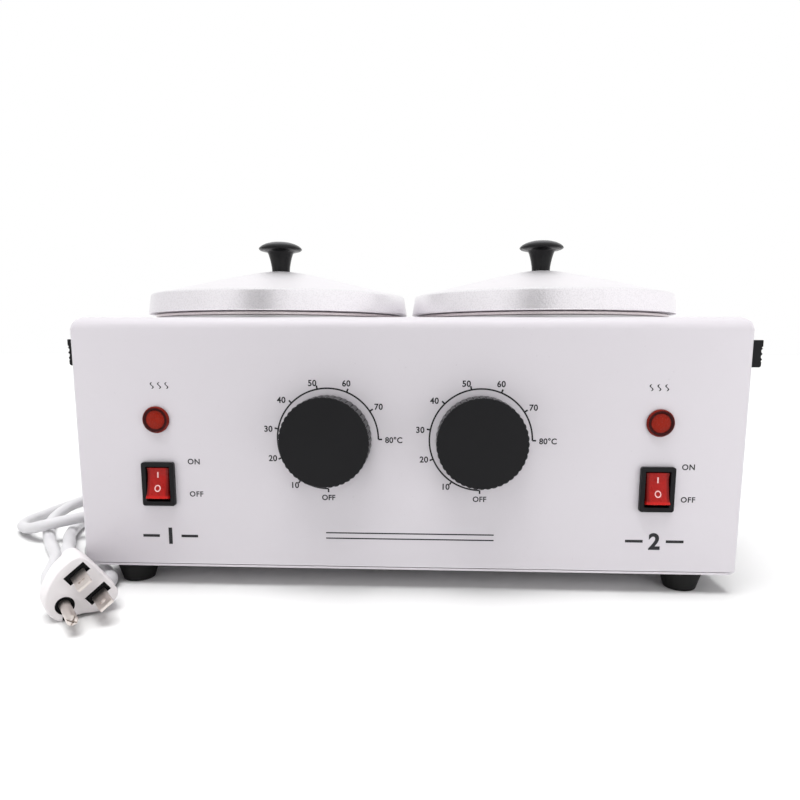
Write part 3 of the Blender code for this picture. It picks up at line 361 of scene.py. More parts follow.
def make_spun_aluminium(name, centre, base, brushed_radius):
    """Aluminium turned on a lathe, satin outside the brushed radius and more matt inside it."""
    metal = Finish(name)
    reach = metal.size_of(metal.place(centre, (1, 1, 0)))
    place = metal.place(centre)
    rings = reach + metal.along(place, "Z")
    lines = metal.node("TexNoise", {"noise_dimensions": "1D"}, {"W": rings, "Scale": 2600, "Detail": 2})
    grain = metal.noise(place, 1500, 2, 0.6)
    cloud = metal.noise(place, 40, 2)
    fade = 0.003
    inside = metal.smooth(reach, brushed_radius, brushed_radius - fade)
    speck = metal.ramp(grain, (0.36, (0.91, 0.91, 0.91)), (0.56, (1, 1, 1)))
    tone = metal.mix(cloud, tint(base, 0.965), base)
    multiply = {"data_type": "RGBA", "blend_type": "MULTIPLY"}
    satin = metal.node("Mix", multiply, {0: 1.0, 6: tone, 7: speck}, output=2)
    return metal.surface(
        base=metal.mix(inside, satin, tone),
        metallic=1.0,
        roughness=0.24 + 0.10 * grain + 0.06 * lines + 0.22 * inside,
        normal=metal.bump(lines * 0.2 + grain, 0.00011),
    )


def make_dull_aluminium():
    """Drawn aluminium with faint cloudy stains."""
    base = bpy.context.scene.warmer_colours.dull
    metal = Finish("drawn_aluminium")
    place = metal.place()
    cloud = metal.noise(place, 55, 4, 0.6)
    grain = metal.noise(place, 2600, 2)
    return metal.surface(
        base=metal.mix(cloud, tint(base, 0.86), base),
        metallic=1.0,
        roughness=0.34 + 0.12 * cloud,
        normal=metal.bump(grain, 0.000006),
    )


def make_moulding(name, base, rough, specular=0.5, texture=0.000006, scale=1500):
    """A moulded plastic with a fine cast texture and a faint unevenness of tone."""
    plastic = Finish(name)
    place = plastic.place()
    grain = plastic.noise(place, scale, 2)
    cloud = plastic.noise(place, 45, 3)
    return plastic.surface(
        base=plastic.mix(cloud, tint(base, 0.90), tint(base, 1.06)),
        roughness=rough - 0.04 + 0.09 * cloud,
        specular=specular,
        normal=plastic.bump(grain, texture),
    )


def make_lamp_lens(side_name):
    """Red lens: a mottled, faceted front disc with a dark sloping rim round it."""
    colours = bpy.context.scene.warmer_colours
    disc = bpy.context.scene.warmer_controls.lamp_disc
    centre = middle_of(f"{side_name}_lamp_lens")
    lens = Finish(f"{side_name}_red_lens")
    reach = lens.size_of(lens.place(centre, (1, 0, 1)))
    place = lens.place(centre)
    cells = lens.node("TexVoronoi", {"feature": "F1"}, {"Vector": place, "Scale": 620})
    speckle = lens.noise(place, 1300, 2)
    rim = lens.smooth(reach, disc * 0.93, disc * 1.08)
    edge = lens.smooth(reach, disc * 1.27, disc * 1.42)
    ring = lens.mix(edge, colours.lens_rim, tint(colours.lens, 0.35))
    tones = ((0.05, 1.9), (0.30, 1.1), (0.80, 0.5))
    stops = [(position, tint(colours.lens, factor)) for position, factor in tones]
    bright = lens.ramp(cells * 340 * speckle, *stops)
    return lens.surface(
        base=lens.mix(rim, bright, ring),
        roughness=0.20 + 0.12 * speckle,
        specular=0.14,
        normal=lens.bump(cells, 0.0002),
    )


def make_knob_plastic():
    """Black moulding with a clear sheen, and painted sheen: a greyer colour on top of the cap."""
    base = tint(bpy.context.scene.warmer_colours.black, 0.6)
    low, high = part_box("left_lid_knob")
    tall = high.z - low.z
    plastic = Finish("black_knob_moulding")
    place = plastic.place()
    cloud = plastic.noise(place, 60, 3)
    # Painted sheen: the top of the cap is coloured a lighter grey than its sides
    crown = plastic.smooth(plastic.along(place, "Z"), high.z - tall * 0.20, high.z - tall * 0.08)
    side_tone = plastic.mix(cloud, tint(base, 0.8), tint(base, 1.2))
    return plastic.surface(
        base=plastic.mix(crown, side_tone, tint(base, 10)),
        roughness=0.28 + 0.08 * cloud,
        specular=0.10,
        coat=0.22,
        coat_roughness=0.10,
    )


def make_red_plastic(side_name):
    """Clear red moulding of a rocker, with painted shade along both sides and a painted highlight at its
    lower lip.
    """
    base = bpy.context.scene.warmer_colours.red
    front = bpy.context.scene.warmer_controls.rocker_front
    plastic = Finish(f"{side_name}_red_moulding")
    place = plastic.place(middle_of(f"{side_name}_switch_frame"))
    across = plastic.node("Math", {"operation": "ABSOLUTE"}, {0: plastic.along(place, "X")})
    # Painted shade: the rocker's colour is darker along both sides
    beside = plastic.smooth(across, front * 0.33, front * 0.46)
    # Painted highlight: the colour is lighter at the rocker's lower lip
    lip_top = -0.0046
    lip_bottom = -0.0058
    lip = plastic.smooth(plastic.along(place, "Z"), lip_top, lip_bottom)
    cloud = plastic.noise(place, 260, 3)
    grain = plastic.noise(place, 1800, 1)
    face = plastic.mix(cloud, tint(base, 0.78), tint(base, 1.16))
    edged = plastic.mix(beside * 0.75, face, tint(base, 0.28))
    return plastic.surface(
        base=plastic.mix(lip * 0.8, edged, tint(base, 1.45)),
        roughness=0.24 + 0.08 * cloud,
        specular=0.2,
        normal=plastic.bump(grain, 0.000004),
    )


def make_mica():
    """Mica wrapping of the heater bands, with its flakes."""
    base = bpy.context.scene.warmer_colours.mica
    wrap = Finish("mica_wrap")
    place = wrap.place()
    flakes = wrap.node("TexVoronoi", {"feature": "F1"}, {"Vector": place, "Scale": 260})
    streaks = wrap.noise(wrap.place(scale=(1, 1, 8)), 90, 4)
    return wrap.surface(
        base=wrap.mix(streaks, tint(base, 0.70), tint(base, 1.15)),
        roughness=0.5 + 0.2 * streaks,
        normal=wrap.bump(flakes, 0.00003),
    )


def make_metal(name, base, rough):
    """A plated metal with a fine drawn grain."""
    metal = Finish(name)
    place = metal.place()
    grain = metal.noise(place, 1900, 3, 0.6)
    cloud = metal.noise(place, 130, 3)
    return metal.surface(
        base=metal.mix(cloud, tint(base, 0.88), tint(base, 1.04)),
        metallic=1.0,
        roughness=rough + 0.12 * cloud,
        normal=metal.bump(grain, 0.000006),
    )


def of_colour(maker, name, colour_name, *rest, factor=1):
    """A maker of a finish, ready to take its colour from the scene once it is called."""

    def make():
        base = getattr(bpy.context.scene.warmer_colours, colour_name)
        return maker(name, tint(base, factor), *rest)

    return make


finish_makers = {
    "paint": make_paint,
    "dull": make_dull_aluminium,
    "black": of_colour(make_moulding, "black_moulding", "black", 0.34, 0.12),
    "dial": of_colour(make_moulding, "black_dial_moulding", "black", 0.50, 0.12),
    # Painted sheen: the ribs are a lighter copy of the dial's black
    "ribs": of_colour(make_moulding, "black_rib_moulding", "black", 0.38, 0.4, factor=2),
    "knob": make_knob_plastic,
    # A lighter copy of the lead's vinyl: painted light on the plug's face
    "plug": of_colour(make_moulding, "white_plug_vinyl", "plug", 0.36, 0.4),
    # Painted shade: a near-black colour for the plug's recesses
    "recess": of_colour(make_moulding, "black_recess_moulding", "black", 0.6, 0.2, factor=0.5),
    "rubber": of_colour(make_moulding, "black_rubber", "rubber", 0.62, 0.16, 0.00002, 900),
    "vinyl": of_colour(make_moulding, "white_vinyl", "vinyl", 0.34, 0.45, 0.000004),
    "cream": of_colour(make_moulding, "cream_moulding", "cream", 0.5),
    "ink": of_colour(make_moulding, "printed_ink", "ink", 0.5, 0.2),
    "pale": of_colour(make_moulding, "pale_marks", "pale", 0.4, 0.4),
    "mica": make_mica,
    "nickel": of_colour(make_metal, "nickel_plate", "nickel", 0.30),
    "zinc": of_colour(make_metal, "zinc_plate", "zinc", 0.32),
    "copper": of_colour(make_metal, "copper_tube", "copper", 0.34),
}


def new_object(name, data):
    """An object in the scene, so that it can be evaluated."""
    obj = bpy.data.objects.new(name, data)
    bpy.context.scene.collection.objects.link(obj)
    return obj


def put(thing, **values):
    """Sets several properties of a thing, and returns the thing."""
    for name, value in values.items():
        setattr(thing, name, value)
    return thing


def smoothed(mesh, degrees=flat_angle):
    """Smooth shading that keeps edges sharper than the angle."""
    mesh.shade_smooth()
    mesh.set_sharp_from_angle(angle=math.radians(degrees))
    return mesh


def object_from(name, bm, matrix=None, degrees=flat_angle):
    """An object around the mesh in bm, its place in its mesh and its faces outward."""
    bmesh.ops.remove_doubles(bm, verts=bm.verts, dist=same_place)
    bmesh.ops.recalc_face_normals(bm, faces=bm.faces)
    mesh = bpy.data.meshes.new(name)
    bm.to_mesh(mesh)
    bm.free()
    if matrix is not None:
        mesh.transform(matrix)
    return new_object(name, smoothed(mesh, degrees))


def at(location, turn=upright):
    """The matrix of a place and a turn."""
    return Matrix.Translation(location) @ Euler(turn).to_matrix().to_4x4()


def evaluated_mesh(obj):
    """A plain mesh of the object as its modifiers leave it."""
    bpy.context.view_layer.update()
    graph = bpy.context.evaluated_depsgraph_get()
    evaluated = obj.evaluated_get(graph)
    return bpy.data.meshes.new_from_object(evaluated, preserve_all_data_layers=True, depsgraph=graph)


def settle(obj):
    """Makes the object's modifiers part of its mesh."""
    mesh = evaluated_mesh(obj)
    obj.modifiers.clear()
    obj.data = mesh
    return obj


def modified(obj, kind, **values):
    """The object with one modifier worked into its mesh."""
    put(obj.modifiers.new(kind, kind), **values)
    return settle(obj)


def even_shading(obj):
    """Weights the normals by face size, so that flat faces stay flat beside their rounded edges."""
    return modified(obj, "WEIGHTED_NORMAL", weight=80, keep_sharp=True)


def bevelled(obj, width, segments=3, degrees=40):
    """Rounds the object's edges that are sharper than the angle."""
    angle = math.radians(degrees)
    modified(obj, "BEVEL", width=width, segments=segments, limit_method="ANGLE", angle_limit=angle)
    smoothed(obj.data)
    return obj


def combine(obj, other, operation, material=None):
    """Works the other object into the object, and removes it. Cut faces can take a material."""
    materials = {}
    if material is not None:
        other.data.materials.append(material)
        materials["material_mode"] = "TRANSFER"
    modified(obj, "BOOLEAN", operation=operation, solver="EXACT", object=other, **materials)
    bpy.data.objects.remove(other, do_unlink=True)
    smoothed(obj.data)
    return obj


def cut(obj, cutter, material=None):
    """Takes the shape in the cutter's mesh out of the object."""
    return combine(obj, object_from("cutter", cutter), "DIFFERENCE", material)


def show(obj, body, material, slot, *nodes):
    """Gives a finished piece its material and its body, and hides the nodes that it stands for."""
    if len(obj.data.materials) == 0:
        obj.data.materials.append(material)
    else:
        obj.data.materials[0] = material
    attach(obj, body)
    if nodes:
        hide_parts(*nodes)
    return obj


def add_block(bm, size, centre=(0, 0, 0), turn=upright):
    matrix = at(centre, turn) @ Matrix.Diagonal((*size, 1))
    return bmesh.ops.create_cube(bm, size=1, matrix=matrix)["verts"]


def add_cylinder(bm, radius, depth, centre, turn=upright, segments=48):
    bmesh.ops.create_cone(
        bm,
        cap_ends=True,
        segments=segments,
        radius1=radius,
        radius2=radius,
        depth=depth,
        matrix=at(centre, turn),
    )


def rounded(points, closed=False, steps=6):
    """The points of an outline, with each that has a third number rounded to that radius."""
    made = []
    last = len(points) - 1
    for i, point in enumerate(points):
        corner = Vector(point[:2])
        if len(point) < 3 or (not closed and i in (0, last)):
            made.append(tuple(corner))
            continue
        before = Vector(points[i - 1][:2]) - corner
        after = Vector(points[(i + 1) % len(points)][:2]) - corner
        half = before.angle(after) / 2
        reach = min(point[2] / math.tan(half), 0.49 * before.length, 0.49 * after.length)
        radius = reach * math.tan(half)
        inward = (before.normalized() + after.normalized()).normalized()
        middle = corner + inward * (radius / math.sin(half))
        start = corner + before.normalized() * reach - middle
        end = corner + after.normalized() * reach - middle
        first_angle = math.atan2(start.y, start.x)
        sweep = math.atan2(end.y, end.x) - first_angle
        sweep = (sweep + math.pi) % (2 * math.pi) - math.pi
        for k in range(steps + 1):
            angle = first_angle + sweep * k / steps
            made.append((middle.x + radius * math.cos(angle), middle.y + radius * math.sin(angle)))
    return made


def turned(name, profile, matrix=None, steps=96, closed=False, degrees=flat_angle):
    """A piece turned about its own Z from (radius, height) points."""
    bm = bmesh.new()
    rings = []
    for radius, height in profile:
        if radius == 0:
            rings.append([bm.verts.new((0, 0, height))])
            continue
        ring = []
        for i in range(steps):
            angle = 2 * math.pi * i / steps
            ring.append(bm.verts.new((radius * math.cos(angle), radius * math.sin(angle), height)))
        rings.append(ring)
    pairs = list(zip(rings, rings[1:]))
    if closed:
        pairs.append((rings[-1], rings[0]))
    for ring, after in pairs:
        for i in range(steps):
            j = (i + 1) % steps
            near = (ring[i % len(ring)], ring[j % len(ring)])
            far = (after[j % len(after)], after[i % len(after)])
            corners = list(dict.fromkeys(near + far))
            if len(corners) > 2:
                bm.faces.new(corners)
    return object_from(name, bm, matrix, degrees)


def extruded(name, outline, depth, matrix=None):
    """A closed outline in the XY plane, as deep along Z as given and centred on the plane."""
    bm = bmesh.new()
    face = bm.faces.new([bm.verts.new((x, y, -depth / 2)) for x, y in outline])
    made = bmesh.ops.extrude_face_region(bm, geom=[face])["geom"]
    verts = [item for item in made if isinstance(item, bmesh.types.BMVert)]
    bmesh.ops.translate(bm, verts=verts, vec=(0, 0, depth))
    return object_from(name, bm, matrix)


def rectangle(width, height, corner=0.0):
    """The corners of a centred rectangle, each to be rounded to the corner's radius."""
    half_w = width / 2
    half_h = height / 2
    return [
        (half_w, half_h, corner),
        (-half_w, half_h, corner),
        (-half_w, -half_h, corner),
        (half_w, -half_h, corner),
    ]


def middle_of(node):
    """The middle of a node's box."""
    low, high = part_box(node)
    return (low + high) / 2


def standing(node):
    """The two corners of a node's box, and the foot of its upright axis."""
    low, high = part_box(node)
    return low, high, Vector(((low.x + high.x) / 2, (low.y + high.y) / 2, 0))


class Pattern:
    """A Geometry Nodes tree with named inputs, which makes a piece that repeats."""

    def __init__(self, name, **inputs):
        kinds = {float: "NodeSocketFloat", int: "NodeSocketInt"}
        self.tree = bpy.data.node_groups.new(name, "GeometryNodeTree")
        face = self.tree.interface
        face.new_socket("Geometry", in_out="OUTPUT", socket_type="NodeSocketGeometry")
        face.new_socket("Geometry", in_out="INPUT", socket_type="NodeSocketGeometry")
        self.identifiers = {}
        self.values = {}
        for label, value in inputs.items():
            kind = kinds.get(type(value), "NodeSocketObject")
            socket = face.new_socket(label, in_out="INPUT", socket_type=kind)
            self.identifiers[label] = socket.identifier
            self.values[label] = value
        material = face.new_socket("material", in_out="INPUT", socket_type="NodeSocketMaterial")
        self.identifiers["material"] = material.identifier
        self.entry = self.tree.nodes.new("NodeGroupInput")

    def given(self, label):
        """The output of the tree's input with that name."""
        return self.entry.outputs[label]

    def node(self, kind, settings=None, inputs=None, output=0):
        made = self.tree.nodes.new(kind)
        for key, value in (settings or {}).items():
            setattr(made, key, value)
        for key, value in (inputs or {}).items():
            if isinstance(value, bpy.types.NodeSocket):
                self.tree.links.new(value, made.inputs[key])
            else:
                made.inputs[key].default_value = value
        return made.outputs[output]

    def maths(self, operation, first, second):
        return self.node("ShaderNodeMath", {"operation": operation}, {0: first, 1: second})

    def copies(self, points, instance, direction=None, axis="Z"):
        """The instance on every point, with its axis turned along the direction."""
        inputs = {"Points": points, "Instance": instance}
        if direction is not None:
            vector = {"Vector": direction}
            turn = self.node("FunctionNodeAlignRotationToVector", {"axis": axis}, vector)
            inputs["Rotation"] = turn
        return self.node("GeometryNodeInstanceOnPoints", None, inputs)

    def end(self, geometry):
        real = self.node("GeometryNodeRealizeInstances", None, {"Geometry": geometry})
        inputs = {"Geometry": real, "Material": self.given("material")}
        done = self.node("GeometryNodeSetMaterial", None, inputs)
        out = self.tree.nodes.new("NodeGroupOutput")
        self.tree.links.new(done, out.inputs["Geometry"])

    def made(self, name, material, matrix=None, mesh=None):
        """The tree's result as a plain mesh, its place in its mesh."""
        obj = new_object(name, mesh or bpy.data.meshes.new(name))
        modifier = obj.modifiers.new("Pattern", "NODES")
        modifier.node_group = self.tree
        for label, value in {**self.values, "material": material}.items():
            modifier[self.identifiers[label]] = value
        settle(obj)
        if matrix is not None:
            obj.data.transform(matrix)
        smoothed(obj.data)
        return obj


# The mains lead's route on the ground, from the end of its coil to the plug
cord_route = (
    (-0.1120, 0.1647, 0.0033), (-0.1400, 0.1657, 0.0033), (-0.1680, 0.1617, 0.0033),
    (-0.1950, 0.1497, 0.0033), (-0.2170, 0.1287, 0.0033), (-0.2300, 0.1037, 0.0033),
    (-0.2360, 0.0787, 0.0033), (-0.2390, 0.0557, 0.0033), (-0.2405, 0.0387, 0.0033),
    (-0.2415, 0.0247, 0.0033), (-0.2375, 0.0127, 0.0039), (-0.2295, 0.0027, 0.0052),
    (-0.2200, -0.0048, 0.0075), (-0.2120, -0.0078, 0.0099), (-0.2045, -0.0063, 0.0114),
    (-0.1975, -0.0018, 0.0123), (-0.1905, 0.0052, 0.0125), (-0.1825, 0.0137, 0.0116),
    (-0.1740, 0.0232, 0.0105), (-0.1660, 0.0357, 0.0082), (-0.1625, 0.0497, 0.0072),
    (-0.1660, 0.0647, 0.0084), (-0.1755, 0.0757, 0.0105), (-0.1890, 0.0792, 0.0107),
    (-0.2040, 0.0747, 0.0106), (-0.2155, 0.0637, 0.0106), (-0.2220, 0.0487, 0.0096),
    (-0.2255, 0.0347, 0.0070), (-0.2250, 0.0217, 0.0040), (-0.2190, 0.0087, 0.0033),
    (-0.2110, -0.0043, 0.0033), (-0.2020, -0.0183, 0.0033), (-0.1920, -0.0318, 0.0033),
    (-0.1830, -0.0448, 0.0033), (-0.1765, -0.0593, 0.0033), (-0.1710, -0.0723, 0.0033),
    (-0.1645, -0.0823, 0.0033), (-0.1565, -0.0878, 0.0033), (-0.1475, -0.0883, 0.0033),
    (-0.1405, -0.0833, 0.0033), (-0.1392, -0.0748, 0.0033), (-0.1445, -0.0663, 0.0033),
    (-0.1540, -0.0553, 0.0033), (-0.1640, -0.0433, 0.0033), (-0.1730, -0.0283, 0.0033),
    (-0.1790, -0.0113, 0.0033), (-0.1820, 0.0067, 0.0033), (-0.1830, 0.0267, 0.0033),
    (-0.1810, 0.0467, 0.0033), (-0.1780, 0.0647, 0.0033), (-0.1735, 0.0827, 0.0033),
    (-0.1695, 0.1007, 0.0033), (-0.1695, 0.1187, 0.0033), (-0.1780, 0.1327, 0.0033),
    (-0.1920, 0.1372, 0.0033), (-0.2050, 0.1292, 0.0033), (-0.2110, 0.1127, 0.0033),
    (-0.2110, 0.0927, 0.0033), (-0.2095, 0.0747, 0.0033), (-0.2090, 0.0567, 0.0033),
    (-0.2080, 0.0387, 0.0033), (-0.2060, 0.0227, 0.0033), (-0.2020, 0.0067, 0.0035),
    (-0.1950, -0.0103, 0.0047), (-0.1865, -0.0260, 0.0068), (-0.1774, -0.0415, 0.0097),
    (-0.1676, -0.0600, 0.0130),
)

# The coil behind the housing, and the plug's place
cord_exit = Vector((-0.0455, 0.1070, 0.0280))
coil_centre = Vector((-0.085, 0.1244, 0))
coil_radius = 0.0395
coil_pitch = 0.0086
coil_upper_z = 0.0104
coil_lower_z = 0.0033
coil_turns = 2.25
coil_inward_turns = 0.875
coil_reverse_turns = 0.5
coil_lead_turns = 1 / 3
coil_steps_per_turn = 24
plug_face_centre = Vector((-0.1314, -0.1079, 0.0138))
plug_heading = math.radians(38)
plug_roll = math.radians(53.7)
plug_length = 0.044


def smooth_step(amount):
    amount = min(max(amount, 0), 1)
    return amount * amount * (3 - 2 * amount)


def curve_point(before, start, end, after, t):
    """A point from start to end on the smooth curve through four points."""
    return (
        2 * start
        + (end - before) * t
        + (2 * before - 5 * start + 4 * end - after) * t**2
        + (3 * start - before - 3 * end + after) * t**3
    ) / 2


def smooth_through(points, longest_step):
    """Points of a smooth curve through the given ones, no further apart than the step."""
    points = [Vector(point) for point in points]
    ends = [2 * points[0] - points[1], *points, 2 * points[-1] - points[-2]]
    path = []
    for four in zip(ends, ends[1:], ends[2:], ends[3:]):
        parts = max(1, math.ceil((four[2] - four[1]).length / longest_step))
        path += [curve_point(*four, i / parts) for i in range(parts)]
    path.append(points[-1])
    return path


def coil_points(diameter):
    """The coil's centreline: in on the upper layer, down where it reverses, and out below."""
    points = [cord_exit, cord_exit + Vector((0, diameter, 0))]
    climb_end = coil_inward_turns + coil_reverse_turns
    for i in range(round(coil_turns * coil_steps_per_turn) + 1):
        turn = i / coil_steps_per_turn
        outward = max(turn - climb_end, 0) - min(turn, coil_inward_turns)
        radius = coil_radius + coil_pitch * outward
        lead = smooth_step(turn / coil_lead_turns)
        drop = smooth_step((turn - coil_inward_turns) / coil_reverse_turns)
        z = cord_exit.z + (coil_upper_z - cord_exit.z) * lead - (coil_upper_z - coil_lower_z) * drop
        angle = 2 * math.pi * turn
        across = Vector((radius * math.cos(angle), radius * math.sin(angle), z))
        points.append(coil_centre + across)
    return points


def plug_matrix():
    """The plug's own frame: X across the blades, Y away from the ground pin, Z the way they point."""
    ahead = Vector((math.sin(plug_heading), -math.cos(plug_heading), 0))
    across = Vector((math.cos(plug_heading), math.sin(plug_heading), 0))
    up = Vector((0, 0, 1))
    x_axis = across * math.cos(plug_roll) - up * math.sin(plug_roll)
    y_axis = across * math.sin(plug_roll) + up * math.cos(plug_roll)
    turn = Matrix((x_axis, y_axis, ahead)).transposed().to_4x4()
    return Matrix.Translation(plug_face_centre) @ turn


def make_stage(context):
    """The floor, the light and the camera at the photograph's angle."""
    stage = context.scene.warmer_stage
    scene = context.scene
    scene.view_settings.view_transform = "Standard"
    make_world(scene, stage.sky)

    floor_half = 6
    bm = bmesh.new()
    bmesh.ops.create_grid(bm, x_segments=1, y_segments=1, size=floor_half)
    floor = new_object("floor", bpy.data.meshes.new("floor"))
    bm.to_mesh(floor.data)
    bm.free()
    ground = Finish("pale_floor")
    diffuse = ground.node("BsdfDiffuse", None, {"Color": tuple(stage.floor)})
    floor.data.materials.append(ground.end(diffuse))

    # Each sun's name and power, how wide it is and how it is turned
    suns = (("key_light", stage.key, 44, (7, 0, -35)), ("fill_light", stage.fill, 60, (74, 0, 8)))
    for name, power, angle, aim in suns:
        light = put(bpy.data.lights.new(name, "SUN"), energy=power, angle=math.radians(angle))
        turns = [math.radians(turn) for turn in aim]
        put(new_object(name, light), rotation_euler=turns, visible_glossy=False)
    # Each small light's name, share of the power and side
    small_lights = (("left_light", 0.65, -1), ("right_light", 1, 1))
    light_size = 0.12
    light_reach = Vector((0.30, 0.18, 0.10))
    light_turn = math.radians(40)
    for name, weight, side in small_lights:
        light = put(bpy.data.lights.new(name, "AREA"), energy=stage.side * weight, size=light_size)
        lamp = put(new_object(name, light), visible_glossy=False)
        lamp.location = (side * light_reach.x, front_y - light_reach.y, light_reach.z)
        lamp.rotation_euler = (math.pi / 2, 0, side * light_turn)

    # Cards that only show in the sheen of metal and paint: name, centre, size, turn and strength
    cards = (
        ("front_card", (0, -1.05, 0.42), (2.4, 0.9), 0, 0.93),
        ("left_card", (-1.20, -0.15, 0.42), (2.2, 0.9), -90, 0.80),
        ("right_card", (1.20, -0.15, 0.42), (2.2, 0.9), 90, 1.00),
        ("dark_card", (-0.187, -1.00, 0.50), (0.34, 0.86), 0, 0.14),
    )
    card_colour = (1, 0.985, 1)
    card_depth = 0.001
    for name, centre, size, turn, strength in cards:
        bm = bmesh.new()
        add_block(bm, (*size, card_depth))
        card = object_from(name, bm, at(centre, (math.pi / 2, 0, math.radians(turn))))
        glow = Finish(name)
        emission = glow.node("Emission", None, {"Color": card_colour, "Strength": strength})
        card.data.materials.append(glow.end(emission))
        put(card, visible_camera=False, visible_diffuse=False)
        put(card, visible_shadow=False, visible_transmission=False)

    camera_place = (0.01168, -0.3637, 0.1146)
    camera_turns = (81.33, -0.08, 2.64)
    camera = put(new_object("camera", bpy.data.cameras.new("camera")), location=camera_place)
    camera.rotation_euler = [math.radians(turn) for turn in camera_turns]
    put(camera.data, lens=29.25, sensor_width=36, shift_y=0.0534, clip_start=0.01)
    scene.camera = camera


def make_world(scene, dim):
    """Light from all round: white where it is seen, dimmer where it lights the warmer."""
    world = bpy.data.worlds.new("pale_studio")
    scene.world = world
    world.use_nodes = True
    tree = world.node_tree
    tree.nodes.clear()
    rays = tree.nodes.new("ShaderNodeLightPath")
    seen = rays.outputs["Is Camera Ray"]
    for name in ("Is Glossy Ray", "Is Transmission Ray"):
        either = tree.nodes.new("ShaderNodeMath")
        either.operation = "MAXIMUM"
        tree.links.new(seen, either.inputs[0])
        tree.links.new(rays.outputs[name], either.inputs[1])
        seen = either.outputs[0]
    strength = tree.nodes.new("ShaderNodeMapRange")
    strength.inputs["To Min"].default_value = dim
    strength.inputs["To Max"].default_value = 1.0
    tree.links.new(seen, strength.inputs["Value"])
    sky = tree.nodes.new("ShaderNodeBackground")
    sky.inputs["Color"].default_value = (1, 1, 1, 1)
    tree.links.new(strength.outputs[0], sky.inputs["Strength"])
    out = tree.nodes.new("ShaderNodeOutputWorld")
    tree.links.new(sky.outputs[0], out.inputs["Surface"])


def make_lead(context):
    """The mains lead: one unbroken line through the coil and along the ground to the plug."""
    sizes = context.scene.warmer_cord
    plug_rear = plug_matrix() @ Vector((0, 0, -plug_length - fit_gap))
    route = (*coil_points(sizes.diameter), *cord_route, plug_rear)
    points = smooth_through(route, sizes.point_step)
    curve = bpy.data.curves.new("mains_lead", "CURVE")
    radius = sizes.diameter / 2
    put(curve, dimensions="3D", bevel_depth=radius, bevel_resolution=6, use_fill_caps=True)
    spline = curve.splines.new("POLY")
    spline.points.add(len(points) - 1)
    for point, place in zip(spline.points, points):
        point.co = (*place, 1)
    spline.use_smooth = True
    lead = new_object("mains_lead", curve)
    return show(lead, "housing", finish("vinyl"), "white_vinyl", "power_cord", "power_cord_coil")


def make_relief():
    """The tapered, ribbed sleeve in the rear panel."""
    low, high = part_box("cord_strain_relief")
    reach = high.y - rear_y
    behind = low.y - rear_y
    flange = 0.0078
    flange_front = 0.002
    groove = 0.0055
    sheet_back = -0.0013
    root = 0.0060
    tip = 0.0043
    bore = 0.0035
    ribs = 5
    first = 0.0045
    round_edge = 0.0004
    pitch = (reach - first) / (ribs + 0.4)
    # Share of the pitch, how far out from the sleeve, and the rounding there
    rib_shape = (
        (0.40, 0.0004, 0.0004),
        (0.22, -0.0005, 0.0003),
        (-0.22, -0.0005, 0.0003),
        (-0.40, 0.0005, 0.0004),
    )
    profile = [(0, reach), (bore, reach), (tip, reach, 1.5 * round_edge)]
    for i in reversed(range(ribs)):
        middle = first + (i + 0.5) * pitch
        radius = root + (tip - root) * middle / reach
        profile += [(radius + out, middle + pitch * step, edge) for step, out, edge in rib_shape]
    profile += [
        (root, flange_front, 2 * round_edge),
        (flange, flange_front, 1.5 * round_edge),
        (flange, fit_gap),
        (groove, fit_gap),
        (groove, sheet_back),
        (flange, sheet_back),
        (flange, behind),
        (0, behind),
    ]
    place = Vector((cord_exit.x, rear_y, cord_exit.z))
    relief = turned("strain_relief_sleeve", rounded(profile), at(place, facing_rear), 64)
    return show(relief, "housing", finish("vinyl"), "white_vinyl", "cord_strain_relief")


def plug_outline():
    """The plug's face as a smooth closed line: shares of its half width, top and bottom."""
    half_width = 0.0133
    top = 0.0068
    bottom = 0.0183
    steps = 5
    shares = (
        (-0.3, 1.0, 0), (-0.68, 0.97, 0), (-0.9, 0.78, 0), (-1.0, 0.35, 0), (-1.0, 0, -0.17),
        (-0.94, 0, -0.36), (-0.82, 0, -0.57), (-0.66, 0, -0.77), (-0.42, 0, -0.93), (-0.14, 0, -1.0),
        (0.12, 0, -1.0), (0.34, 0, -0.93), (0.5, 0, -0.78), (0.58, 0, -0.56), (0.82, 0, -0.36),
        (1.0, 0, -0.17), (1.0, 0.35, 0), (0.9, 0.78, 0), (0.68, 0.97, 0), (0.3, 1.0, 0),
    )
    points = [Vector((half_width * a, top * b + bottom * c)) for a, b, c in shares]
    wrapped = [points[-1], *points, points[0], points[1]]
    fours = zip(wrapped, wrapped[1:], wrapped[2:], wrapped[3:])
    return [curve_point(*four, i / steps) for four in fours for i in range(steps)]


def plug_stations():
    """Stations back along the plug: distance, swell, how round, and radius where round."""
    full = 0.011
    shoulder = 0.014
    neck = 0.0052
    tip = 0.0046
    swell = 0.0004
    shoulder_steps = 9
    rings = 3
    ring_gap = 0.002
    ring_pitch = 0.0052
    ring_dip = 0.0006
    round_edge = 0.0004
    stations = [(0, -0.0011, 0, 0), (0.00025, -0.0005, 0, 0), (0.0008, 0, 0, 0)]
    stations += [(full * 0.3, swell / 2, 0, 0), (full * 0.6, swell, 0, 0), (full, swell, 0, 0)]
    for i in range(1, shoulder_steps + 1):
        t = i / shoulder_steps
        stations.append((full + shoulder * t, swell * (1 - t), smooth_step(t), neck))
    for i in range(rings):
        start = full + shoulder + ring_gap + i * ring_pitch
        for step, dip in ((0, 0), (0.0004, ring_dip), (0.0022, ring_dip), (0.0026, 0)):
            slope = (start + step - full - shoulder) / (plug_length - full - shoulder)
            stations.append((start + step, 0, 1, neck + (tip - neck) * slope - dip))
    stations.append((plug_length - round_edge, 0, 1, tip))
    stations.append((plug_length, 0, 1, tip - round_edge))
    return stations


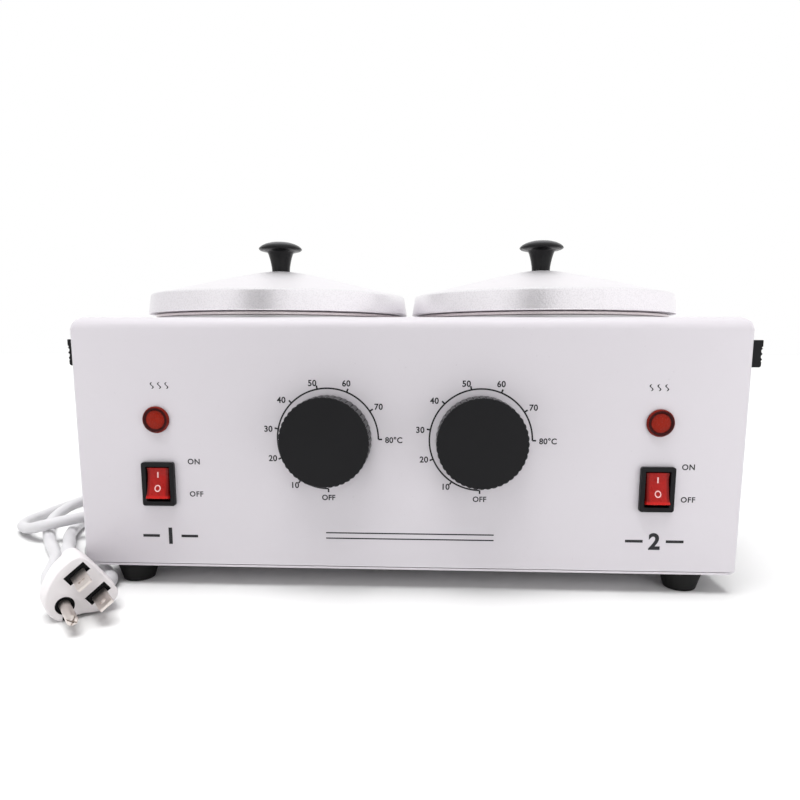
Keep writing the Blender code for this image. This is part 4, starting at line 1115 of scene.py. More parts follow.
def make_plug_body():
    """The moulded plug: a soft-edged face that draws in to a round neck, with its recesses coloured near
    black as painted shade.
    """
    outline = plug_outline()
    reach = max(point.length for point in outline)
    bm = bmesh.new()
    loops = []
    for back, swell, roundness, radius in plug_stations():
        loop = []
        for point in outline:
            grown = point * (1 + swell / reach)
            x, y = grown.lerp(point.normalized() * radius, roundness)
            loop.append(bm.verts.new((x, y, -back)))
        loops.append(loop)
    for loop, after in zip(loops, loops[1:]):
        for i, vert in enumerate(loop):
            j = (i + 1) % len(loop)
            bm.faces.new((vert, loop[j], after[j], after[i]))
    bm.faces.new(loops[0])
    bm.faces.new(loops[-1])
    body = object_from("plug_moulding", bm, degrees=40)
    body.data.materials.append(finish("plug"))

    slot = (0.0044, 0.0098)
    slot_shift = -0.0008
    pin_recess = 0.0038
    depth = 0.002 + cut_overrun
    middle = cut_overrun - depth / 2
    # The recesses are coloured near black: painted shade
    recesses = bmesh.new()
    for way in (-1, 1):
        add_block(recesses, (*slot, depth), (way * blade_offset + slot_shift, 0, middle))
    add_cylinder(recesses, pin_recess, depth, (0, -pin_drop, middle))
    cut(body, recesses, finish("recess"))
    # The notch is also coloured near black: painted shade
    notch_size = (0.0062, 0.0030, 0.0022)
    notch_place = (0.0062, -0.0142, -0.0004)
    notch_turn = math.radians(52)
    notch = bmesh.new()
    add_block(notch, notch_size, notch_place, (0, 0, notch_turn))
    cut(body, notch, finish("recess"))
    body.data.transform(plug_matrix())
    return show(body, "housing", finish("plug"), "white_vinyl", "plug_body")


def make_blades(context):
    """The plug's two flat blades with the hole near their tip, and its hollow ground pin."""
    hole = context.scene.warmer_cord.blade_hole
    matrix = plug_matrix()
    blade_size = (0.0015, 0.00635, 0.0168)
    blade_middle = 0.0067
    blade_edge = 0.0004
    hole_reach = 0.0102
    made = []
    for side_name, side in sides:
        bm = bmesh.new()
        add_block(bm, blade_size, (side * blade_offset, 0, blade_middle))
        blade = bevelled(object_from(f"plug_blade_{side_name}_strip", bm), blade_edge, 3)
        cutter = bmesh.new()
        depth = blade_size[0] + cut_overrun
        add_cylinder(cutter, hole, depth, (side * blade_offset, 0, hole_reach), facing_right, 32)
        cut(blade, cutter)
        blade.data.transform(matrix)
        node = f"plug_blade_{side_name}"
        made.append(show(blade, "housing", finish("nickel"), "nickel", node))

    radius = 0.0022
    reach = 0.019
    root = -0.0017
    tip_round = 0.0016
    bore = 0.0007
    bore_depth = 0.004
    slit = 0.0005
    pin_turn = 0.5
    steps = 8
    profile = [(0, root), (radius, root), (radius, reach - tip_round)]
    for i in range(1, steps + 1):
        angle = math.pi / 2 * i / steps
        out = bore + (radius - bore) * math.cos(angle)
        profile.append((out, reach - tip_round + tip_round * math.sin(angle)))
    profile += [(bore, reach - bore_depth), (0, reach - bore_depth)]
    pin = turned("plug_ground_pin_tube", profile, steps=48, degrees=50)
    across = 2 * radius + cut_overrun / 2
    for size in ((slit, across, bore_depth), (across, slit, bore_depth)):
        cutter = bmesh.new()
        add_block(cutter, size, (0, 0, reach))
        cut(pin, cutter)
    turn = Matrix.Rotation(pin_turn, 4, "Z")
    pin.data.transform(matrix @ Matrix.Translation((0, -pin_drop, 0)) @ turn)
    made.append(show(pin, "housing", finish("nickel"), "nickel", "plug_ground_pin"))
    return made


def make_housing(context):
    """The folded housing with its holes."""
    sizes = context.scene.warmer_housing
    pots = context.scene.warmer_pots
    low, high = housing_low, housing_high
    bm = bmesh.new()
    add_block(bm, high - low, (low + high) / 2)
    floor = [face for face in bm.faces if face.normal.z < -0.5]
    bmesh.ops.delete(bm, geom=floor, context="FACES_ONLY")
    weights = bm.edges.layers.float.new("bevel_weight_edge")
    for edge in bm.edges:
        if len(edge.link_faces) == 2:
            is_corner = abs(edge.verts[0].co.z - edge.verts[1].co.z) > sizes.fold
            edge[weights] = sizes.corner / sizes.fold if is_corner else 1
    shell = object_from("housing_panels", bm)
    modified(shell, "BEVEL", limit_method="WEIGHT", width=sizes.fold, segments=sizes.fold_steps)
    modified(shell, "SOLIDIFY", thickness=sizes.sheet, offset=-1, use_even_offset=True)

    well_gap = 0.0004
    shaft_hole = 0.004
    lamp_hole = 0.0051
    switch_hole = (0.0135, 0.0191)
    relief_hole = 0.0058
    depth = 6 * sizes.sheet
    well_steps = 128
    screw_steps = 24
    handle_low, handle_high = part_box("right_handle")
    screw_reach = (handle_high.y - handle_low.y - sizes.handle_leg) / 2
    holes = bmesh.new()
    for side_name, side in sides:
        well = middle_of(f"{side_name}_heating_well")
        dial = middle_of(f"{side_name}_dial")
        lamp = middle_of(f"{side_name}_lamp_lens")
        switch = middle_of(f"{side_name}_switch_frame")
        add_cylinder(holes, pots.well + well_gap, depth, (well.x, well.y, high.z), segments=well_steps)
        add_cylinder(holes, shaft_hole, depth, (dial.x, front_y, dial.z), facing_front)
        add_cylinder(holes, lamp_hole, depth, (lamp.x, front_y, lamp.z), facing_front)
        add_block(holes, (switch_hole[0], depth, switch_hole[1]), (switch.x, front_y, switch.z))
        wall_x = high.x if side > 0 else low.x
        for way in (-1, 1):
            row = "inner" if way * side < 0 else "outer"
            screw = middle_of(f"thermostat_screw_{row}_{side_name}")
            add_cylinder(holes, screw_hole, depth, (screw.x, front_y, screw.z), facing_front, screw_steps)
            place = (wall_x, middle_y + way * screw_reach, (handle_low.z + handle_high.z) / 2)
            add_cylinder(holes, screw_hole, depth, place, facing_right, screw_steps)
        rear = middle_of(f"base_screw_{side_name}")
        add_cylinder(holes, screw_hole, depth, (rear.x, rear_y, rear.z), facing_front, screw_steps)
    add_cylinder(holes, relief_hole, depth, (cord_exit.x, rear_y, cord_exit.z), facing_front)
    cut(shell, holes)
    even_shading(shell)
    show(shell, "housing", finish("paint"), "white_paint", "housing_shell")


def make_feet(context):
    """Four rubber feet with their rounded edges and the recess for their screw."""
    edge = context.scene.warmer_housing.foot_edge
    top_radius = 0.010
    bottom_radius = 0.0072
    recess = 0.0043
    recess_depth = 0.0042
    for side_name in side_names:
        for row in ("front", "rear"):
            node = f"foot_{row}_{side_name}"
            _, high, place = standing(node)
            profile = [
                (screw_hole, high.z),
                (top_radius, high.z, edge),
                (bottom_radius, 0, edge),
                (recess, 0, edge / 2),
                (recess, recess_depth),
                (screw_hole, recess_depth),
            ]
            foot = turned(f"rubber_{node}", rounded(profile, closed=True), at(place), 64, closed=True)
            show(foot, "housing", finish("rubber"), "black_rubber", node)


def handle_outline(reach, half, tooth, side):
    """Side view of a handle: flat against the wall, with three small teeth along its outer face."""
    upper_edge = 0.0005
    lower_edge = 0.0011
    drops_and_insets = (
        (0.24, 0), (0.27, 1), (0.31, 0), (0.37, 1), (0.44, 1), (0.51, 0),
        (0.57, 1), (0.64, 1), (0.715, 0), (0.77, 1), (0.81, 0.4),
    )
    outline = [(0, -half), (0, half), (reach, half, upper_edge)]
    outline += [(reach - tooth * inset, half - 2 * half * drop) for drop, inset in drops_and_insets]
    outline += [(reach - tooth * 0.5, -half, lower_edge)]
    return rounded([(side * point[0], *point[1:]) for point in outline], closed=True)


def make_handles(context):
    """The end handles: a ridged bar on two legs, with room for fingers behind it."""
    sizes = context.scene.warmer_housing
    for side_name, side in sides:
        node = f"{side_name}_handle"
        low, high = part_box(node)
        reach = high.x - low.x
        half = (high.z - low.z) / 2
        long = high.y - low.y
        outline = handle_outline(reach, half, sizes.tooth, side)
        handle = extruded(f"{side_name}_handle_bar", outline, long)
        gap = side * (reach - sizes.handle_bar)
        behind = -side * cut_overrun
        leg = long / 2 - sizes.handle_leg
        corner = sizes.handle_corner
        gap_corners = [(gap, leg, corner), (behind, leg), (behind, -leg), (gap, -leg, corner)]
        tall = 2 * half + 2 * cut_overrun
        cutter = extruded("finger_gap", rounded(gap_corners, closed=True), tall, panel_turn.inverted())
        combine(handle, cutter, "DIFFERENCE")
        bevelled(handle, sizes.handle_edge, 2, 75)
        wall_x = low.x if side > 0 else high.x
        place = Matrix.Translation((wall_x, middle_y, (low.z + high.z) / 2))
        handle.data.transform(place @ panel_turn)
        show(handle, "housing", finish("black"), "black_plastic", node)


def make_wells(context):
    """The heated wells in the housing's top."""
    sizes = context.scene.warmer_pots
    flange_sheet = 0.00128
    inner_corner = 0.003
    outer_corner = 0.004
    lip_edge = 0.0008
    flange_edge = 0.0003
    for side_name in side_names:
        node = f"{side_name}_heating_well"
        low, high, place = standing(node)
        flange = (high.x - low.x) / 2
        inner = sizes.well - sizes.well_wall
        profile = [
            (0, low.z + sizes.well_wall),
            (inner, low.z + sizes.well_wall, inner_corner),
            (inner, high.z, lip_edge),
            (flange, high.z, flange_edge),
            (flange, high.z - flange_sheet),
            (sizes.well, high.z - flange_sheet),
            (sizes.well, low.z, outer_corner),
            (0, low.z),
        ]
        well = turned(f"{side_name}_well_cup", rounded(profile), at(place), sizes.turn_steps)
        show(well, "housing", finish("dull"), "dull_aluminium", node)


def make_pots(context):
    """The lift-out wax pots."""
    sizes = context.scene.warmer_pots
    colours = context.scene.warmer_colours
    rim_sheet = 0.00165
    lip_edge = 0.0012
    flange_edge = 0.0005
    for side_name in side_names:
        node = f"{side_name}_wax_pot"
        low, high, place = standing(node)
        flange = (high.x - low.x) / 2
        inner = sizes.pot - sizes.pot_wall
        rim = high.z - rim_sheet
        profile = [
            (0, low.z + sizes.pot_wall),
            (inner, low.z + sizes.pot_wall, sizes.pot_corner - sizes.pot_wall),
            (inner, high.z, lip_edge),
            (flange, high.z, flange_edge),
            (flange, rim, flange_edge),
            (sizes.pot, rim),
            (sizes.pot, low.z, sizes.pot_corner),
            (0, low.z),
        ]
        pot = turned(f"{side_name}_pot_cup", rounded(profile), at(place), sizes.turn_steps)
        # The pot's pinkish colour is a painted reflection
        metal = make_spun_aluminium(f"{side_name}_pot_aluminium", place, colours.pot, 0)
        show(pot, f"{side_name}_pot", metal, "spun_aluminium", node)


def make_lids(context):
    """The spun lids: a skirt that tapers in, a round shoulder and a slightly crowned top."""
    sizes = context.scene.warmer_pots
    colours = context.scene.warmer_colours
    locating_depth = 0.003
    locating_gap = 0.0005
    skirt = 0.0096
    taper = 0.0015
    shoulder_rise = 0.0006
    shoulder_run = 0.004
    hem_rise = 0.0008
    hem_edge = 0.0004
    crown_power = 1.12
    crown_steps = 12
    sheet = sizes.lid_sheet
    seat = sizes.lid_seat
    for side_name in side_names:
        node = f"{side_name}_lid"
        low, high, place = standing(node)
        outer = (high.x - low.x) / 2
        bottom = low.z + locating_depth
        rim = bottom + skirt
        top = outer - taper
        locating = sizes.pot - sizes.pot_wall - locating_gap
        crown = []
        for i in range(crown_steps + 1):
            radius = seat + (top - shoulder_run - seat) * i / crown_steps
            beyond = (radius - seat) / (top - seat)
            crown.append((radius, rim + (high.z - rim) * (1 - beyond**crown_power)))
        profile = [(screw_hole, high.z, 0), *crown]
        profile += [(top, rim + shoulder_rise, sizes.lid_corner), (outer, bottom + hem_rise)]
        profile += [
            (outer, bottom, hem_edge),
            (locating, bottom, hem_edge),
            (locating, low.z, hem_edge),
            (locating - sheet, low.z, hem_edge),
            (locating - sheet, bottom + sheet),
            (outer - sheet, bottom + sheet),
            (top - sheet, rim - shoulder_rise, sizes.lid_corner - sheet),
        ]
        profile += [(radius, z - sheet) for radius, z in reversed(crown)]
        profile += [(screw_hole, high.z - sheet)]
        outline = rounded(profile, closed=True, steps=8)
        lid = turned(f"{side_name}_lid_shell", outline, at(place), sizes.turn_steps, closed=True)
        metal = make_spun_aluminium(f"{side_name}_lid_aluminium", place, colours.aluminium, top)
        show(lid, f"{side_name}_lid", metal, "spun_aluminium", node)


def make_knobs():
    """The lid knobs: a thin-lipped cap on a neck that flares up into it."""
    screw_depth = 0.009
    shares = (
        (0.0, 1.0), (0.25, 0.994), (0.5, 0.970), (0.72, 0.922), (0.88, 0.862), (0.97, 0.806),
        (1.0, 0.770), (0.985, 0.742), (0.93, 0.712), (0.82, 0.690), (0.68, 0.672), (0.595, 0.640),
        (0.55, 0.560), (0.50, 0.430), (0.458, 0.290), (0.425, 0.150), (0.41, 0.0),
    )
    for side_name in side_names:
        node = f"{side_name}_lid_knob"
        low, high, place = standing(node)
        radius = (high.x - low.x) / 2
        profile = [(radius * a, low.z + (high.z - low.z) * b) for a, b in shares]
        profile += [(screw_hole, low.z), (screw_hole, low.z + screw_depth), (0, low.z + screw_depth)]
        knob = turned(f"{side_name}_knob_cap", profile, at(place), 96, degrees=42)
        show(knob, f"{side_name}_lid", finish("knob"), "black_plastic", node)


def dial_rib_pattern(radius, ribs, rib_radius, tall):
    """Ribs that stand round a dial's edge."""
    pattern = Pattern("dial_ribs", radius=radius, ribs=ribs, rib_radius=rib_radius, tall=tall)
    given = pattern.given
    circle = {"Vertices": given("ribs"), "Radius": given("radius")}
    ring = pattern.node("GeometryNodeMeshCircle", None, circle)
    rib_inputs = {"Vertices": 20, "Radius": given("rib_radius"), "Depth": given("tall")}
    rib = pattern.node("GeometryNodeMeshCylinder", None, rib_inputs)
    half = pattern.maths("MULTIPLY", given("tall"), 0.5)
    lift = pattern.node("ShaderNodeCombineXYZ", None, {"Z": half})
    raised = pattern.node("GeometryNodeTransform", None, {"Geometry": rib, "Translation": lift})
    pattern.end(pattern.copies(ring, raised))
    return pattern


def make_dials(context):
    """The dials: a flat black face with a fine ribbed edge, hollow behind."""
    sizes = context.scene.warmer_controls
    face = 0.003
    inside = 0.0182
    boss = 0.0056
    bore = 0.0033
    edge = 0.0003
    inner_round = 0.0008
    boss_round = 0.0005
    rib_front_gap = 0.00015
    for side_name in side_names:
        node = f"{side_name}_dial"
        low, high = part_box(node)
        radius = (high.x - low.x) / 2
        tall = high.y - low.y
        core = radius - sizes.dial_rib_stand
        place = Vector(((low.x + high.x) / 2, high.y, (low.z + high.z) / 2))
        profile = [
            (0, tall),
            (core - edge / 3, tall, edge),
            (core, 0, edge),
            (inside, 0),
            (inside, tall - face, inner_round),
            (boss, tall - face, boss_round),
            (boss, 0),
            (bore, 0),
            (bore, tall - face),
            (0, tall - face),
        ]
        matrix = at(place, facing_front)
        dial = turned(f"{side_name}_dial_cap", rounded(profile), matrix, 120)
        show(dial, node, finish("dial"), "black_plastic", node)
        rib_centre = radius - sizes.dial_rib
        # The ribs' lighter black is painted sheen on the dial's side
        ribs = dial_rib_pattern(rib_centre, sizes.dial_ribs, sizes.dial_rib, tall - rib_front_gap)
        made = ribs.made(f"{side_name}_dial_ribs", finish("ribs"), matrix)
        show(made, node, finish("ribs"), "black_plastic")


def scale_pattern(sizes):
    """The line round a dial with evenly spaced ticks that point outward."""
    pattern = Pattern(
        "dial_scale",
        radius=sizes.scale_radius,
        sweep=math.radians(270),
        ticks=9,
        line_width=sizes.scale_line,
        tick_length=sizes.tick_length,
        tick_width=sizes.tick_width,
        thickness=sizes.ink,
    )
    given = pattern.given

    def arc(points, radius):
        inputs = {"Resolution": points, "Radius": radius, "Start Angle": 0.0}
        inputs["Sweep Angle"] = given("sweep")
        return pattern.node("GeometryNodeCurveArc", {"mode": "RADIUS"}, inputs)

    section = {"Width": given("line_width"), "Height": given("thickness")}
    strip = pattern.node("GeometryNodeCurvePrimitiveQuadrilateral", {"mode": "RECTANGLE"}, section)
    swept = {"Curve": arc(120, given("radius")), "Profile Curve": strip, "Fill Caps": True}
    line = pattern.node("GeometryNodeCurveToMesh", None, swept)
    outward = pattern.maths("MULTIPLY", given("tick_length"), 0.5)
    tick_arc = arc(given("ticks"), pattern.maths("ADD", given("radius"), outward))
    points = pattern.node("GeometryNodeCurveToPoints", {"mode": "EVALUATED"}, {"Curve": tick_arc})
    block = {"X": given("tick_length"), "Y": given("tick_width"), "Z": given("thickness")}
    size = pattern.node("ShaderNodeCombineXYZ", None, block)
    tick = pattern.node("GeometryNodeMeshCube", None, {"Size": size})
    place = pattern.node("GeometryNodeInputPosition")
    joined = pattern.tree.nodes.new("GeometryNodeJoinGeometry")
    pattern.tree.links.new(line, joined.inputs[0])
    pattern.tree.links.new(pattern.copies(points, tick, place, "X"), joined.inputs[0])
    pattern.end(joined.outputs[0])
    return pattern


def lettering(name, text, place, height, thickness, weight=0.0, spacing=1.0):
    """Plain letters or figures of a given height, standing on the front panel."""
    curve = bpy.data.curves.new(name, "FONT")
    put(curve, body=text, align_x="CENTER", align_y="CENTER", resolution_u=6, extrude=0.5)
    put(curve, offset=weight, space_character=spacing)
    obj = new_object(name, curve)
    mesh = evaluated_mesh(obj)
    bpy.data.objects.remove(obj, do_unlink=True)
    xs = [vert.co.x for vert in mesh.vertices]
    ys = [vert.co.y for vert in mesh.vertices]
    factor = height / (max(ys) - min(ys))
    centre = Vector(((max(xs) + min(xs)) / 2, (max(ys) + min(ys)) / 2, 0))
    scale = Matrix.Diagonal((factor, factor, thickness, 1))
    mesh.transform(at(place, facing_front) @ scale @ Matrix.Translation(-centre))
    bm = bmesh.new()
    bm.from_mesh(mesh)
    return object_from(name, bm, degrees=30)


def wave(name, place, width, height, line, thickness):
    """An upright wavy stroke, the common sign for heat."""
    steps = 24
    right = []
    left = []
    for i in range(steps + 1):
        t = i / steps
        middle = width / 2 * math.sin(2 * math.pi * t)
        right.append((middle + line / 2, height * (t - 0.5)))
        left.append((middle - line / 2, height * (t - 0.5)))
    return extruded(name, right + left[::-1], thickness, at(place, facing_front))


def joined(name, pieces):
    """One object that holds the meshes of several, which are removed."""
    bm = bmesh.new()
    for piece in pieces:
        bm.from_mesh(piece.data)
        bpy.data.objects.remove(piece, do_unlink=True)
    mesh = bpy.data.meshes.new(name)
    bm.to_mesh(mesh)
    bm.free()
    return new_object(name, smoothed(mesh, 30))


# What is printed beside each switch: its side, the places of its words and signs, and its figure
printed_signs = (
    ("left", (-0.09765, 0.0603), (-0.0970, 0.0449), (-0.1121, 0.0955), "1", (-0.1104, 0.0245)),
    ("right", (0.1279, 0.0599), (0.12865, 0.0449), (0.1129, 0.0955), "2", (0.1148, 0.0252)),
)
# What is printed round each dial: the text, its distance from the dial's axis, and its angle
printed_numbers = (
    ("80°C", 0.0302, -0.4),
    ("70", 0.0277, 32.6),
    ("60", 0.0269, 71.0),
    ("50", 0.0264, 104.8),
    ("40", 0.0276, 139.8),
    ("30", 0.0277, 170.6),
    ("20", 0.0272, 199.6),
    ("10", 0.0266, 234.7),
    ("OFF", 0.0274, 270.0),
)


def make_marks(context):
    """What is printed on the panel: dial scales, on and off, heat signs and plain figures."""
    sizes = context.scene.warmer_controls
    ink = finish("ink")
    lift = 0.00001
    panel = front_y - sizes.ink / 2 + lift
    number_weight = 0.028
    number_spacing = 1.05
    dial_word_share = 0.9
    word_weight = 0.026
    figure_weight = 0.035
    on_height = 0.0027
    on_spacing = 1.1
    off_height = 0.0026
    off_spacing = 1.12
    wave_size = (0.0012, 0.0030, 0.0006)
    wave_step = 0.0034
    figure_height = 0.0080
    bar_size = (0.0080, 0.0013)
    bar_step = 0.0092
    line_size = (0.0780, 0.0006)
    line_x = 0.0027
    line_heights = (0.0271, 0.0245)

    def letters(text, x, z, height, weight, spacing=1.0):
        return lettering("letters", text, (x, panel, z), height, sizes.ink, weight, spacing)

    def bar(x, z, width, height):
        bm = bmesh.new()
        add_block(bm, (width, sizes.ink, height), (x, panel, z))
        return object_from("bar", bm)

    scale = scale_pattern(sizes)
    for side_name, on_place, off_place, sign_place, figure, figure_place in printed_signs:
        dial = middle_of(f"{side_name}_dial")
        matrix = at((dial.x, panel, dial.z), facing_front)
        made = scale.made(f"{side_name}_scale_line", ink, matrix)
        show(made, "housing", ink, "black_plastic")
        pieces = []
        for text, radius, degrees in printed_numbers:
            angle = math.radians(degrees)
            x = dial.x + radius * math.cos(angle)
            z = dial.z + radius * math.sin(angle)
            tall = sizes.number_height * (dial_word_share if text == "OFF" else 1)
            pieces.append(letters(text, x, z, tall, number_weight, number_spacing))
        pieces.append(letters("ON", *on_place, on_height, word_weight, on_spacing))
        pieces.append(letters("OFF", *off_place, off_height, word_weight, off_spacing))
        for i in (-1, 0, 1):
            place = (sign_place[0] + i * wave_step, panel, sign_place[1])
            pieces.append(wave("heat_sign", place, *wave_size, sizes.ink))
        pieces.append(letters(figure, *figure_place, figure_height, figure_weight))
        for way in (-1, 1):
            pieces.append(bar(figure_place[0] + way * bar_step, figure_place[1], *bar_size))
        show(joined(f"{side_name}_printed_marks", pieces), "housing", ink, "black_plastic")
    lines = [bar(line_x, z, *line_size) for z in line_heights]
    show(joined("centre_printed_lines", lines), "housing", ink, "black_plastic")


def make_switches(context):
    """The rocker switches: a rounded black frame, and a red rocker with its two marks."""
    sizes = context.scene.warmer_controls
    stand = 0.002
    corner = 0.0011
    back_size = (0.0129, 0.0185)
    opening_size = (0.0112, 0.0164)
    cavity = 0.0095
    overrun = 0.001
    for side_name in side_names:
        node = f"{side_name}_switch_frame"
        low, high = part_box(node)
        middle = (low + high) / 2
        centre = Vector((middle.x, front_y - fit_gap - stand / 2, middle.z))
        outline = rounded(rectangle(high.x - low.x, high.z - low.z, corner), closed=True)
        bezel = extruded(f"{side_name}_switch_bezel", outline, stand, at(centre, facing_front))
        back_depth = high.y - centre.y
        back = bmesh.new()
        back_middle = (centre.x, centre.y + back_depth / 2, centre.z)
        add_block(back, (back_size[0], back_depth, back_size[1]), back_middle)
        combine(bezel, object_from("switch_body", back), "UNION")
        depth = cavity + overrun
        opening = bmesh.new()
        opening_y = centre.y - stand / 2 - overrun + depth / 2
        add_block(opening, (opening_size[0], depth, opening_size[1]), (centre.x, opening_y, centre.z))
        cut(bezel, opening)
        bevelled(bezel, sizes.frame_edge, 4, 50)
        even_shading(bezel)
        show(bezel, "housing", finish("black"), "black_plastic", node)
        make_rocker(side_name, centre, sizes)


rocker_half = 0.0072


def rocker_stand(z):
    """How far a rocker's front face stands out at a height from its middle."""
    end_stand = 0.0036
    middle_stand = 0.0025
    dip_power = 2.4
    return middle_stand + (end_stand - middle_stand) * abs(z / rocker_half) ** dip_power


def make_rocker(side_name, centre, sizes):
    """A red rocker whose front face narrows and dips in the middle, with its marks."""
    tilt = math.radians(12)
    base_half = 0.0053
    waist = 0.66
    waist_fade = 0.30
    end_gap = 0.0001
    shoulder_y = 0.0002
    keel_end = 0.0014
    keel_swell = 0.0032
    edge = 0.00035
    pin_radius = 0.00095
    pin_length = 0.0118
    steps = 24
    narrow = sizes.rocker_front / 2
    bm = bmesh.new()
    rows = []
    for i in range(steps + 1):
        z = rocker_half - 2 * rocker_half * i / steps
        share_up = abs(z) / rocker_half
        widening = smooth_step((share_up - waist) / waist_fade)
        reach = narrow + (base_half - end_gap - narrow) * widening
        keel = keel_end + keel_swell * (1 - share_up**2)
        levels = ((reach, -rocker_stand(z)), (base_half, -shoulder_y), (base_half, keel))
        left = [bm.verts.new((-x, y, z)) for x, y in levels]
        right = [bm.verts.new((x, y, z)) for x, y in reversed(levels)]
        rows.append(left + right)
    for row, after in zip(rows, rows[1:]):
        for j in range(len(row)):
            bm.faces.new((row[j], row[j - 1], after[j - 1], after[j]))
    for row in (rows[0], rows[-1]):
        bm.faces.new((row[0], row[1], row[4], row[5]))
        bm.faces.new((row[1], row[2], row[3], row[4]))
    rocker = bevelled(object_from(f"{side_name}_rocker_cap", bm), edge, 3, 28)
    pins = bmesh.new()
    add_cylinder(pins, pin_radius, pin_length, (0, 0, 0), facing_right, 24)
    combine(rocker, object_from("rocker_pins", pins), "UNION")
    pivot = Matrix.Translation((centre.x, front_y + shoulder_y, centre.z))
    place = pivot @ Matrix.Rotation(-tilt, 4, "X")
    rocker.data.transform(place)
    body = f"{side_name}_rocker"
    show(rocker, body, make_red_plastic(side_name), "red_plastic", body)
    made = object_from(f"{side_name}_rocker_marks", rocker_marks(), place)
    show(made, body, finish("pale"), "red_plastic")


def rocker_marks():
    """A bar and a ring that lie on a rocker's curved front face."""
    thickness = 0.00005
    bar_width = 0.0006
    bar_half = 0.0013
    bar_z = 0.0039
    slices = 6
    ring_z = -0.0024
    ring_radii = (0.0010, 0.00145)
    ring_stretch = 1.12
    ring_steps = 40
    marks = bmesh.new()
    tall = 2 * bar_half / slices
    for i in range(slices):
        add_block(marks, (bar_width, thickness, tall), (0, 0, bar_z - bar_half + (i + 0.5) * tall))
    for i in range(ring_steps):
        corners = []
        for y in (-thickness / 2, thickness / 2):
            for radius in ring_radii:
                for k in (i, i + 1):
                    angle = 2 * math.pi * k / ring_steps
                    z = ring_z + ring_stretch * radius * math.sin(angle)
                    corners.append(marks.verts.new((radius * math.cos(angle), y, z)))
        for quad in ((0, 1, 3, 2), (4, 5, 7, 6), (0, 1, 5, 4), (2, 3, 7, 6)):
            marks.faces.new([corners[q] for q in quad])
    bmesh.ops.remove_doubles(marks, verts=marks.verts, dist=2 * same_place)
    inner = [face for face in marks.faces if all(len(edge.link_faces) > 2 for edge in face.edges)]
    bmesh.ops.delete(marks, geom=inner, context="FACES")
    for vert in marks.verts:
        vert.co.y -= rocker_stand(vert.co.z)
    return marks


def make_lamps(context):
    """The lamps: a mottled disc in a sloping ring."""
    disc = context.scene.warmer_controls.lamp_disc
    neck = 0.0048
    groove = 0.0007
    rim_land = 0.0004
    ring_share = 0.60
    for side_name in side_names:
        node = f"{side_name}_lamp_lens"
        low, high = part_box(node)
        flange = (high.x - low.x) / 2
        panel = front_y - fit_gap
        back = panel - high.y
        ring = (panel - low.y) * ring_share
        place = Vector(((low.x + high.x) / 2, panel, (low.z + high.z) / 2))
        profile = [
            (0, ring * 0.78),
            (disc * 0.6, ring * 0.74, 0.002),
            (disc, ring * 0.55, 0.0002),
            (disc + groove, ring, 0.0004),
            (flange - rim_land, ring * 0.86, 0.0006),
            (flange, ring * 0.3, 0.0005),
            (flange, 0),
            (neck, 0),
            (neck, back),
            (0, back),
        ]
        lens = turned(f"{side_name}_lamp_cap", rounded(profile), at(place, facing_front), 80)
        show(lens, "housing", make_lamp_lens(side_name), "red_lens", node)


screw_head = 0.0018


def screw_mesh(shank):
    """A pan-head screw with a cross recess, its head on the +Z side of its own origin."""
    head = 0.0034
    thread = 0.0016
    cross_size = (0.0008, 0.0040, 0.0024)
    profile = [
        (0, screw_head),
        (head * 0.75, screw_head * 0.94, 0.0006),
        (head, screw_head * 0.30, 0.0005),
        (head, 0),
        (thread, 0),
        (thread, -shank, 0.0004),
        (0, -shank),
    ]
    screw = turned("screw_pattern", rounded(profile, steps=4), steps=32)
    narrow, wide, deep = cross_size
    for size in ((narrow, wide, deep), (wide, narrow, deep)):
        cross = bmesh.new()
        add_block(cross, size, (0, 0, screw_head))
        cut(screw, cross)
    return screw


def screw_pattern(screw):
    """Copies of a screw on the points of a mesh, each turned along its point's direction."""
    pattern = Pattern("screws", screw=screw)
    inputs = {"Object": pattern.given("screw"), "As Instance": True}
    settings = {"transform_space": "ORIGINAL"}
    source = pattern.node("GeometryNodeObjectInfo", settings, inputs, output="Geometry")
    named = {"data_type": "FLOAT_VECTOR"}
    way = pattern.node("GeometryNodeInputNamedAttribute", named, {"Name": "direction"})
    points = pattern.node("GeometryNodeMeshToPoints", None, {"Mesh": pattern.given("Geometry")})
    pattern.end(pattern.copies(points, source, way))
    return pattern


def screws_of(body, shank, nodes):
    """The screws of one length on a body: each where its own node is, facing its own way."""
    mesh = bpy.data.meshes.new("screw_points")
    points = []
    ways = []
    for node, axis, sign in nodes:
        low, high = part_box(node)
        point = (low + high) / 2
        outer = getattr(high if sign > 0 else low, axis)
        setattr(point, axis, outer - sign * screw_head)
        points.append(point)
        ways += [sign if name == axis else 0 for name in "xyz"]
    mesh.from_pydata(points, [], [])
    direction = mesh.attributes.new("direction", "FLOAT_VECTOR", "POINT")
    direction.data.foreach_set("vector", ways)
    screw = screw_mesh(shank)
    name = f"{body}_screws_{round(shank * 10000)}"
    made = screw_pattern(screw).made(name, finish("zinc"), None, mesh)
    bpy.data.objects.remove(screw, do_unlink=True)
    show(made, body, finish("zinc"), "zinc_steel", *[node for node, axis, sign in nodes])


def make_screws():
    """Every screw, with those of one length on a body as one piece."""
    short_shank = 0.007
    foot_shank = 0.0087
    lid_shank = 0.009
    short = []
    long = []
    for side_name, side in sides:
        short.append((f"base_screw_{side_name}", "y", 1))
        short += [(f"thermostat_screw_{row}_{side_name}", "y", -1) for row in ("inner", "outer")]
        short += [(f"handle_screw_{row}_{side_name}", "x", -side) for row in ("front", "rear")]
        long += [(f"foot_screw_{row}_{side_name}", "z", -1) for row in ("front", "rear")]
    screws_of("housing", short_shank, short)
    screws_of("housing", foot_shank, long)
    for side_name in side_names:
        screws_of(f"{side_name}_lid", lid_shank, [(f"{side_name}_lid_screw", "z", -1)])


